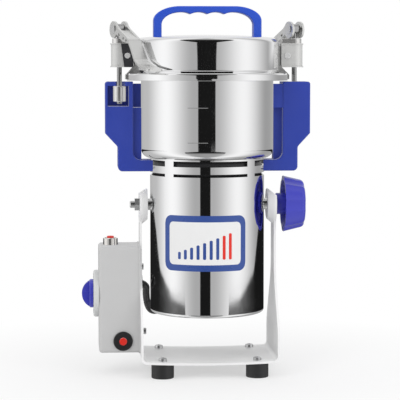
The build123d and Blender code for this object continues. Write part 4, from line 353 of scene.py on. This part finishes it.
# %% Which node wears which finish
wears = {
    mirror_steel: ["motor_housing", "bowl", "lid_shell"],
    strip_steel: ["left_lever", "right_lever", "latch_brackets"],
    turned_steel: ["pivot_bolt", "pivot_spacers", "lock_stud", "lock_washer", "shaft",
                   "lower_blade", "upper_blade", "blade_clamps", "bowl_nut", "upper_bearing",
                   "lower_bearing", "left_lever_pin", "right_lever_pin"],
    rod_steel: ["left_hook_rod", "right_hook_rod"],
    satin_chrome: ["left_barrel_nut", "right_barrel_nut", "thrust_pads"],
    block_zinc: ["latch_blocks"],
    screw_zinc: ["latch_screws"],
    zinc: ["foot_screws", "box_screws", "arm_screws", "handle_screws", "pivot_nut",
           "housing_base"],
    nickel: ["breaker_nut"],
    cast_alloy: ["lower_end_bell", "timer_switch"],
    # The upper end bell wears painted shade in black, so that the vents look dark.
    vent_shade_black: ["upper_end_bell"],
    core_steel: ["stator", "armature"],
    brass: ["brush_gear"],
    copper: ["commutator"],
    stand_coat: ["stand_bracket"],
    box_coat: ["control_box", "box_back_plate"],
    dial_grey: ["timer_plate"],
    arm_blue: ["left_arm", "right_arm"],
    handle_blue: ["lid_handle"],
    knob_violet: ["timer_knob", "lock_knob"],
    foot_rubber: ["rubber_feet", "lead_grommet", "lead_gland"],
    switch_black: ["switch_bezel", "mains_gland", "breaker", "cooling_fan"],
    button_red: ["power_button", "reset_button"],
    seal_white: ["lid_gasket"],
}
for skin, names in wears.items():
    for name in names:
        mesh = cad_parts[name].data
        mesh.materials.clear()
        mesh.materials.append(skin)
dressed = {name for names in wears.values() for name in names}
print("not dressed:", sorted(set(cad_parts) - dressed - {"motor_lead"}))

# %% [markdown]
# ## Lid skin
# Sheet that is pressed over a form never has a sharp crease. A bevel modifier could round the
# solid's edges, but its width is the same everywhere. Here each corner of the profile gets an arc
# of its own that touches both of its straight sides, and the profile is turned once round the
# mill's axis.


# %% Helper: a profile with eased corners
def eased(corners, steps=8):
    """A profile of (radius, height, bend) in millimetres, with an arc where there is a bend."""
    line = []
    for index, (r, z, bend) in enumerate(corners):
        here = Vector((r, z))
        if not bend:
            line.append(here)
            continue
        back = (Vector(corners[index - 1][:2]) - here).normalized()
        ahead = (Vector(corners[index + 1][:2]) - here).normalized()
        half = back.angle(ahead) / 2
        middle = here + (back + ahead).normalized() * bend / math.sin(half)
        start = (here + back * bend / math.tan(half) - middle).normalized()
        end = (here + ahead * bend / math.tan(half) - middle).normalized()
        line.extend(middle + start.slerp(end, step / steps) * bend for step in range(steps + 1))
    return line


# %% [markdown]
# ### Turning a profile
# Blender's spin could do the turning, but the points that it welds come out in another order each
# time. Placing the rings one by one gives the same shape and always the same mesh.


# %% Helper: a turned piece
def turned_piece(name, line, body, skin, around=192):
    """Turns a profile in millimetres round the mill's axis. A point on the axis stays single."""
    form = bmesh.new()
    closed = line[0] == line[-1]
    rings = []
    for r, z in line[:-1] if closed else line:
        angles = [2 * math.pi * k / around for k in range(around if r else 1)]
        rings.append([
            form.verts.new((mill_x + r * MM * math.cos(a), r * MM * math.sin(a), z * MM))
            for a in angles
        ])
    if closed:
        rings.append(rings[0])
    for near, far in zip(rings, rings[1:]):
        for k in range(around):
            corners = [near[k % len(near)], near[(k + 1) % len(near)],
                       far[(k + 1) % len(far)], far[k % len(far)]]
            form.faces.new(tuple(dict.fromkeys(corners)))
    return from_form(name, form, body, skin)


# %% Lid skin
LID_RADIUS, SKIRT_RADIUS, SHEET_THICK = 80.0, 90.0, 1.5
LID_EDGE, LID_CROWN, SHOULDER_TOP, SKIRT_TOP, SKIRT_FOOT = 374.6, 3.6, 338.5, 335.6, 327.7
INNER_DROP = 1.2


def crown(sunk):
    """Points over the lid's shallow dome, from the middle outwards."""
    top = LID_EDGE - sunk
    return [(r, top + LID_CROWN * (1 - (r / LID_RADIUS) ** 2), 0) for r in range(0, 71, 7)]


inner_lid, inner_skirt = LID_RADIUS - SHEET_THICK, SKIRT_RADIUS - SHEET_THICK
lid_corners = crown(0) + [
    (LID_RADIUS, LID_EDGE, 6.0), (LID_RADIUS, SHOULDER_TOP, 1.3), (SKIRT_RADIUS, SKIRT_TOP, 2.4),
    (SKIRT_RADIUS, SKIRT_FOOT, 0.6), (inner_skirt, SKIRT_FOOT, 0.6),
    (inner_skirt, SKIRT_TOP - INNER_DROP, 0.9), (inner_lid, SHOULDER_TOP - INNER_DROP, 2.8),
    (inner_lid, LID_EDGE - SHEET_THICK, 4.5),
] + crown(SHEET_THICK)[::-1]
lid_skin = turned_piece("lid_skin", eased(lid_corners), "lid", mirror_steel)
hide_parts("lid_shell")
print("lid skin faces", len(lid_skin.data.polygons))

# %% [markdown]
# ## Painted shade behind the vents
# The vents under the bowl open into the unlit top of the motor. A thin black ring just inside them
# is painted shade for that dark inside, where one would otherwise look through to the bright floor.

# %% Vent ring of painted shade
RING_IN, RING_OUT, RING_FOOT, RING_TOP = 60.4, 61.2, 221, 241
ring_outline = [(RING_IN, RING_FOOT), (RING_OUT, RING_FOOT), (RING_OUT, RING_TOP),
                (RING_IN, RING_TOP), (RING_IN, RING_FOOT)]
ring_line = [Vector(corner) for corner in ring_outline]
# A black ring of painted shade just inside the vents.
vent_shade_ring = turned_piece("vent_shade_ring", ring_line, "mill", vent_shade_black)
print("vent ring faces", len(vent_shade_ring.data.polygons))

# %% [markdown]
# ## Black cheek on the left clamp block
# A thin pad lies on the front of the left block, between the rod and the lid. Its outer side
# slants, so a plain box won't do: it is drawn as a four-sided outline and given a thickness. The
# block's own box says where its front is, and the pad sinks into it by a hair so that no gap can
# show.

# %% Cheek
block_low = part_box("latch_blocks")[0]
CHEEK_THICK, CHEEK_SINK = 0.5 * MM, 0.05 * MM
cheek_outline = [(-96.4, 368.4), (-82.8, 368.4), (-82.8, 342.6), (-92.8, 342.6)]
cheek_form = bmesh.new()
near_side, far_side = (
    [cheek_form.verts.new((mill_x + x * MM, depth, z * MM)) for x, z in cheek_outline]
    for depth in (block_low.y - CHEEK_THICK, block_low.y + CHEEK_SINK)
)
cheek_form.faces.new(near_side)
cheek_form.faces.new(far_side[::-1])
for k in range(4):
    cheek_form.faces.new((near_side[k], far_side[k], far_side[(k + 1) % 4], near_side[(k + 1) % 4]))
from_form("block_cheek", cheek_form, "lid", pad_black, smooth=False)

# %% [markdown]
# ## Marks and name plate
# Fill lines and a plate follow the curve they sit on. A shrinkwrap could press flat shapes onto it.
# Here each is a thin closed shell instead: columns of points run round the mill, and near a rounded
# end every column gets shorter. The plate is plain, without words.

# %% Helper: a plate wrapped round the mill
COLUMN_STEP = 0.8


def wrapped_plate(name, radius, thick, start, end, low, high, bend, skin):
    """A plate from one angle to another, in degrees from the front, with rounded corners in mm."""
    form = bmesh.new()
    width = math.radians(end - start) * radius
    count = max(2, int(width / COLUMN_STEP))
    columns = []
    for k in range(count + 1):
        along = width * k / count
        near = min(along, width - along)
        short = bend - math.sqrt(max(0.0, bend ** 2 - (bend - near) ** 2)) if near < bend else 0.0
        angle = math.radians(start) + along / radius
        foot, top, outside = low + short, high - short, radius + thick
        columns.append([
            form.verts.new((mill_x + r * MM * math.sin(angle), -r * MM * math.cos(angle), z * MM))
            for r, z in ((radius, foot), (outside, foot), (outside, top), (radius, top))
        ])
    for a, b in zip(columns, columns[1:]):
        for k in range(4):
            form.faces.new((a[k], a[(k + 1) % 4], b[(k + 1) % 4], b[k]))
    form.faces.new(columns[0][::-1])
    form.faces.new(columns[-1])
    return from_form(name, form, "mill", skin, smooth=False)


# %% Fill lines on the bowl
BOWL_RADIUS, LINE_THICK, LINE_HALF, LINE_BEND = 74.0, 0.06, 0.35, 0.3
LINE_START, LINE_END = -21.1, -3.4
line_grey = finish("line_grey", (0.22, 0.22, 0.22), rough=(0.4, 0.5), grain=1500, bump=0.05)
for name, height in (("fill_line_high", 298.5), ("fill_line_low", 260.8)):
    wrapped_plate(name, BOWL_RADIUS, LINE_THICK, LINE_START, LINE_END,
                  height - LINE_HALF, height + LINE_HALF, LINE_BEND, line_grey)
    print(name, "at", height, "mm")

# %% Ground and field of the plate
CAN_RADIUS, GROUND_THICK, FIELD_THICK = 64.0, 0.35, 0.12
plate_blue = finish("plate_blue", (0.03, 0.075, 0.30), rough=(0.25, 0.35), grain=1500, bump=0.04)
plate_white = finish("plate_white", (0.80, 0.80, 0.80), rough=(0.3, 0.4), grain=1500, bump=0.04)
wrapped_plate("plate_ground", CAN_RADIUS, GROUND_THICK, -50, 36.5, 120, 181, 9, plate_blue)
field_radius = CAN_RADIUS + GROUND_THICK
wrapped_plate("plate_field", field_radius, FIELD_THICK, -44, 30.5, 127, 174, 5, plate_white)
print("plate field stands at radius", field_radius, "mm")

# %% Nine rising bars on the plate
BAR_COUNT, BAR_STEP, BAR_HALF, BAR_THICK, BAR_BEND = 9, 6.4, 1.5, 0.08, 0.8
PLATE_MIDDLE, BAR_FOOT, SHORTEST_BAR, BAR_GROWTH, FIRST_RED = -6.75, 133, 8, 2.6, 7
for index in range(BAR_COUNT):
    middle = PLATE_MIDDLE + (index - BAR_COUNT // 2) * BAR_STEP
    bar_top = BAR_FOOT + SHORTEST_BAR + BAR_GROWTH * index
    skin = button_red if index >= FIRST_RED else plate_blue
    wrapped_plate(f"plate_bar_{index}", field_radius + FIELD_THICK, BAR_THICK, middle - BAR_HALF,
                  middle + BAR_HALF, BAR_FOOT, bar_top, BAR_BEND, skin)
print("plate with", BAR_COUNT, "plain bars")

# %% [markdown]
# ## Ticks on the timer's dial
# Sixteen short raised ticks stand round the knob, from zero to its last stop. They are plain marks.
# All are cubes in one mesh, each pushed out to the rim and then turned about the knob's axis.

# %% Dial ticks
TICK_COUNT, TICK_TURN, TICK_WIDE, TICK_HIGH = 16, -20, 0.7 * MM, 0.16 * MM
TICK_RIM, LONG_TICK, SHORT_TICK = 22.6 * MM, 3.6 * MM, 2.2 * MM
dial_low, dial_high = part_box("timer_plate")
dial_middle = Matrix.Translation(
    (dial_low.x - TICK_HIGH / 4, (dial_low.y + dial_high.y) / 2, (dial_low.z + dial_high.z) / 2)
)
tick_form = bmesh.new()
for index in range(TICK_COUNT):
    length = SHORT_TICK if index % 5 else LONG_TICK
    turned = Matrix.Rotation(math.radians(TICK_TURN * index), 4, "X")
    out_to_rim = Matrix.Translation((0, 0, TICK_RIM - length / 2))
    size = Matrix.Diagonal((TICK_HIGH, TICK_WIDE, length, 1))
    bmesh.ops.create_cube(tick_form, size=1, matrix=dial_middle @ turned @ out_to_rim @ size)
from_form("dial_ticks", tick_form, "stand", switch_black, smooth=False)
print("dial ticks", TICK_COUNT)

# %% [markdown]
# ## Helpers for node trees
# Floor and studio are node trees that are mostly arithmetic. Four short helpers add nodes to
# whichever tree the name `tree` holds at the time, so that a sum reads like a sum.

# %% Helpers: nodes, sockets, arithmetic
WHITE = (1, 1, 1, 1)


def node(kind, **values):
    """A new node in the present tree, with its settings."""
    made = tree.nodes.new(kind)
    for key, value in values.items():
        setattr(made, key, value)
    return made


def feed(slot, value):
    """Sets a socket to a number, or links another socket to it."""
    if isinstance(value, (int, float)):
        slot.default_value = value
    else:
        tree.links.new(value, slot)


def math_node(operation, a, b=None):
    """One sum of one or two values."""
    made = node("ShaderNodeMath", operation=operation)
    feed(made.inputs[0], a)
    if b is not None:
        feed(made.inputs[1], b)
    return made.outputs[0]


def ranged(value, low, high, out_low, out_high):
    """Maps low..high to out_low..out_high and stops at both ends."""
    made = node("ShaderNodeMapRange")
    limits = (low, high, out_low, out_high)
    for slot, number in zip(("From Min", "From Max", "To Min", "To Max"), limits):
        feed(made.inputs[slot], number)
    feed(made.inputs["Value"], value)
    return made.outputs["Result"]


def mixed(share, first, second):
    """A mix of two shaders."""
    made = node("ShaderNodeMixShader")
    for slot, value in zip(made.inputs, (share, first, second)):
        feed(slot, value)
    return made.outputs[0]


# %% [markdown]
# ## Floor
# A plain pale floor catches a soft shadow near the mill and fades to white further out, so that no
# horizon line is drawn across the picture. The fade is a glow that only the camera sees, so it puts
# no extra light on the mill.

# %% Floor disc
FLOOR_RADIUS = 9
floor_form = bmesh.new()
bmesh.ops.create_circle(floor_form, cap_ends=True, radius=FLOOR_RADIUS, segments=96)
floor_mesh = bpy.data.meshes.new("floor")
floor_form.to_mesh(floor_mesh)
floor_form.free()
floor = bpy.data.objects.new("floor", floor_mesh)
bpy.context.scene.collection.objects.link(floor)
floor.visible_glossy = False
print("floor", 2 * FLOOR_RADIUS, "m across")

# %% Floor skin
FLOOR_TONE, FADE_START, FADE_END, GLOW_NEAR, GLOW_FAR = 0.86, 0.12, 0.42, 0.5, 1.0
floor_skin = bpy.data.materials.new("pale_floor")
floor_skin.use_nodes = True
tree = floor_skin.node_tree
tree.nodes.clear()
matt = node("ShaderNodeBsdfDiffuse")
matt.inputs["Color"].default_value = (FLOOR_TONE, FLOOR_TONE, FLOOR_TONE, 1)
glow = node("ShaderNodeEmission")
glow.inputs["Color"].default_value = WHITE
reach = node("ShaderNodeVectorMath", operation="LENGTH")
feed(reach.inputs[0], node("ShaderNodeTexCoord").outputs["Object"])
seen = math_node(
    "MULTIPLY", ranged(reach.outputs["Value"], FADE_START, FADE_END, GLOW_NEAR, GLOW_FAR),
    node("ShaderNodeLightPath").outputs["Is Camera Ray"],
)
feed(node("ShaderNodeOutputMaterial").inputs["Surface"],
     mixed(seen, matt.outputs[0], glow.outputs[0]))
floor_mesh.materials.append(floor_skin)
print("floor turns white", FADE_END, "m out")

# %% [markdown]
# ## Studio around the mirror
# Polished steel shows whatever stands round it. A product studio sets white screens with a dark
# slot by the lens and dark flags low at the sides, which draw the black centre stripe and the dark
# sweeps. These could be built as panels. Here the world paints them by direction, for glossy rays
# only, so that they throw no light or shadow. Everything else is lit evenly in white.

# %% World: an empty studio
world = bpy.data.worlds.new("studio")
bpy.context.scene.world = world
world.use_nodes = True
tree = world.node_tree
tree.nodes.clear()
print("world", world.name)

# %% [markdown]
# ### Turn and rise
# A direction is easiest to describe by two angles, in degrees. Turn is 0 towards the camera and
# grows to 180 behind the mill, with a minus sign on the left. Rise is 0 at the horizon and grows
# upwards.

# %% World: turn and rise of a direction
TO_DEGREES = 57.2958
faced = node("ShaderNodeMapping", vector_type="NORMAL")
faced.inputs["Rotation"].default_value = (0, 0, VIEW_TURN)
feed(faced.inputs["Vector"], node("ShaderNodeTexCoord").outputs["Generated"])
split = node("ShaderNodeSeparateXYZ")
feed(split.inputs[0], faced.outputs["Vector"])
east, north, up = split.outputs
turn = math_node("MULTIPLY", math_node("ARCTAN2", east, math_node("MULTIPLY", north, -1.0)),
                 TO_DEGREES)
rise = math_node("MULTIPLY", math_node("ARCSINE", up), TO_DEGREES)
to_side = math_node("ABSOLUTE", turn)
print("nodes so far", len(tree.nodes))

# %% [markdown]
# ### White screens
# One broad screen on each side is brightest at about 70 degrees. A colour ramp round the whole
# turn holds the tones, and its eased steps melt them into each other. The tones are as they are
# shown, so they are turned into light and divided by what the steel gives back.

# %% World: white screens
STEEL_TONE, SHOWN_GAMMA = 0.88, 2.2
shown = [(-180, 0.65), (-130, 0.72), (-75, 0.97), (-20, 0.65), (10, 0.67), (65, 0.95),
         (125, 0.60), (180, 0.65)]
screens = node("ShaderNodeValToRGB")
ramp = screens.color_ramp
ramp.interpolation = "EASE"
ramp.elements.remove(ramp.elements[1])
for index, (angle, tone) in enumerate(shown):
    position = (angle + 180) / 360
    stop = ramp.elements.new(position) if index else ramp.elements[0]
    stop.position = position
    light = tone ** SHOWN_GAMMA / STEEL_TONE
    stop.color = (light, light, light, 1)
feed(screens.inputs["Fac"], ranged(turn, -180, 180, 0, 1))
behind = math_node(
    "MULTIPLY", ranged(rise, 1.0, 2.5, 0.0, 0.86), ranged(to_side, 100, 130, 0.0, 1.0)
)
screen_light = math_node("MAXIMUM", screens.outputs["Color"], behind)
print("screens", len(ramp.elements), "stops")

# %% [markdown]
# ### Dark slot
# The camera looks through a dark slot. The bowl and lid meet it above about -3.25 degrees of rise
# and the can below, so that one slot can be wide for the first and narrow for the second. It
# widens far above and far below, and ends where the ceiling and the floor are bright again.

# %% World: dark slot by the lens
CAN_RISE, BOWL_RISE = -3.30, -3.20
CAN_SLOT_MIDDLE, BOWL_SLOT_MIDDLE, CAN_SLOT_HALF, BOWL_SLOT_HALF = -3.4, -0.4, 10.3, 14.9
SLOT_DARK = 0.022
slot_middle = ranged(rise, CAN_RISE, BOWL_RISE, CAN_SLOT_MIDDLE, BOWL_SLOT_MIDDLE)
slot_half = ranged(rise, CAN_RISE, BOWL_RISE, CAN_SLOT_HALF, BOWL_SLOT_HALF)
slot_half = math_node("ADD", slot_half, ranged(rise, 5, 45, 0.0, 40.0))
slot_half = math_node("ADD", slot_half, ranged(rise, -10, -16, 0.0, 26.0))
off_middle = math_node("ABSOLUTE", math_node("SUBTRACT", turn, slot_middle))
past_edge = math_node("SUBTRACT", off_middle, slot_half)
slot_light = ranged(past_edge, -0.5, 0.5, SLOT_DARK, 1.0)
slot_light = math_node("MAXIMUM", slot_light, ranged(rise, 45, 70, 0.0, 1.0))
slot_light = math_node("MAXIMUM", slot_light, ranged(rise, -16, -34, 0.0, 0.75))
print("slot", 2 * BOWL_SLOT_HALF, "degrees wide for the bowl,", 2 * CAN_SLOT_HALF, "for the can")

# %% [markdown]
# ### Dark flags
# Low black flags stand round the sides. Their upper edge climbs towards the back, and that edge is
# what sweeps down the can in the mirror. A float curve holds the edge as rise over turn. Below the
# flags the light returns, so that a low view still finds bright steel.

# %% World: dark flags low at the sides
FLAG_FLOOR, FLAG_BLUR = -10.0, 0.08
FLAG_FOOT_LOW, FLAG_FOOT_HIGH = -9.4, -8.8
outline = [(0, -9.4), (42, -9.4), (45, -8.2), (70, -8), (110, -7), (125, -5.7), (145, -4.5),
           (168, -4.5), (180, -9.4)]
flags = node("ShaderNodeFloatCurve")
curve = flags.mapping.curves[0]
spots = [(angle / 180, 1 - level / FLAG_FLOOR) for angle, level in outline]
curve.points[0].location = spots[0]
for spot in spots[1:-1]:
    curve.points.new(*spot)
curve.points[len(curve.points) - 1].location = spots[-1]
for point in curve.points:
    point.handle_type = "VECTOR"
flags.mapping.update()
feed(flags.inputs["Value"], math_node("DIVIDE", to_side, 180.0))
flag_top = ranged(flags.outputs[0], 0, 1, FLAG_FLOOR, 0)
flag_light = ranged(math_node("SUBTRACT", rise, flag_top), -FLAG_BLUR, FLAG_BLUR, 0.0, 1.0)
flag_light = math_node(
    "MAXIMUM", flag_light, ranged(rise, FLAG_FOOT_LOW, FLAG_FOOT_HIGH, 1.0, 0.0)
)
flag_light = math_node("MAXIMUM", flag_light, ranged(to_side, 45, 115, 0.14, 0.025))
print("flags", len(curve.points), "points")

# %% [markdown]
# ### Who sees what
# Mirrors get the painted studio, but only on their first bounce: light that has already left a dull
# surface gets the even white again. The camera itself sees plain white behind the mill.

# %% World: who sees what
EVEN_LIGHT = 0.92
studio_light = math_node("MULTIPLY", math_node("MULTIPLY", slot_light, flag_light), screen_light)
path = node("ShaderNodeLightPath")
metal_light = node("ShaderNodeBackground")
feed(metal_light.inputs["Color"], studio_light)
even_light = node("ShaderNodeBackground")
even_light.inputs["Color"].default_value = WHITE
even_light.inputs["Strength"].default_value = EVEN_LIGHT
backdrop = node("ShaderNodeBackground")
backdrop.inputs["Color"].default_value = WHITE
first_mirror = math_node(
    "MULTIPLY", path.outputs["Is Glossy Ray"],
    math_node("LESS_THAN", path.outputs["Diffuse Depth"], 0.5),
)
glossy_or_even = mixed(first_mirror, even_light.outputs[0], metal_light.outputs[0])
all_rays = mixed(path.outputs["Is Camera Ray"], glossy_or_even, backdrop.outputs[0])
feed(node("ShaderNodeOutputWorld").inputs["Surface"], all_rays)
print("studio nodes", len(tree.nodes))

# %% [markdown]
# ## What the mirror leaves out
# Real steel would show the arms and the stand that stand next to it. Here they are left out of its
# reflections on purpose, for a calmer picture. It is a choice of look and only touches glossy
# rays: the camera, the shadows and the soft light still meet every piece. What an arm or the box
# would hide from the mirror is left out with it, or the mirror would look straight through at what
# is behind.

# %% Leave the nearest pieces out of the reflections
arms_and_stand = ["stand_bracket", "left_arm", "right_arm"]
behind_the_arms = ["left_hook_rod", "right_hook_rod", "left_barrel_nut", "right_barrel_nut"]
box_and_contents = [
    "control_box", "box_back_plate", "box_screws", "timer_plate", "timer_switch", "timer_knob",
    "breaker", "breaker_nut", "reset_button", "switch_bezel", "power_button", "mains_gland",
]
not_reflected = arms_and_stand + behind_the_arms + box_and_contents
for name in not_reflected:
    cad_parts[name].visible_glossy = False
print("not reflected:", len(not_reflected), "nodes")

# %% [markdown]
# ## Lamps
# The world lights every side alike, which would leave paint and plastic flat. Two large soft
# lamps, a stronger one on the left and a weaker one on the right, shape them and draw the shadow
# on the floor. Mirrors don't see the lamps, because the painted studio is all that they are meant
# to show.

# %% Lamps
LAMP_AIM = Vector((0, 0, 0.2))


def soft_lamp(name, place, size, watts):
    """A rectangular lamp that looks at the middle of the mill."""
    lamp = bpy.data.objects.new(name, bpy.data.lights.new(name, "AREA"))
    lamp.data.shape = "RECTANGLE"
    lamp.data.size, lamp.data.size_y = size
    lamp.data.energy = watts
    lamp.location = place
    lamp.rotation_euler = (LAMP_AIM - Vector(place)).to_track_quat("-Z", "Y").to_euler()
    lamp.visible_glossy = False
    bpy.context.scene.collection.objects.link(lamp)
    print(name, "lamp", watts, "W")


soft_lamp("key", (-1.1, -1.5, 1.5), (1.0, 1.0), 8)
soft_lamp("fill", (1.4, -1.2, 0.9), (0.9, 1.2), 5)

# %% [markdown]
# ## View
# The Standard view shows colours as they are written.

# %% Standard view
bpy.context.scene.view_settings.view_transform = "Standard"
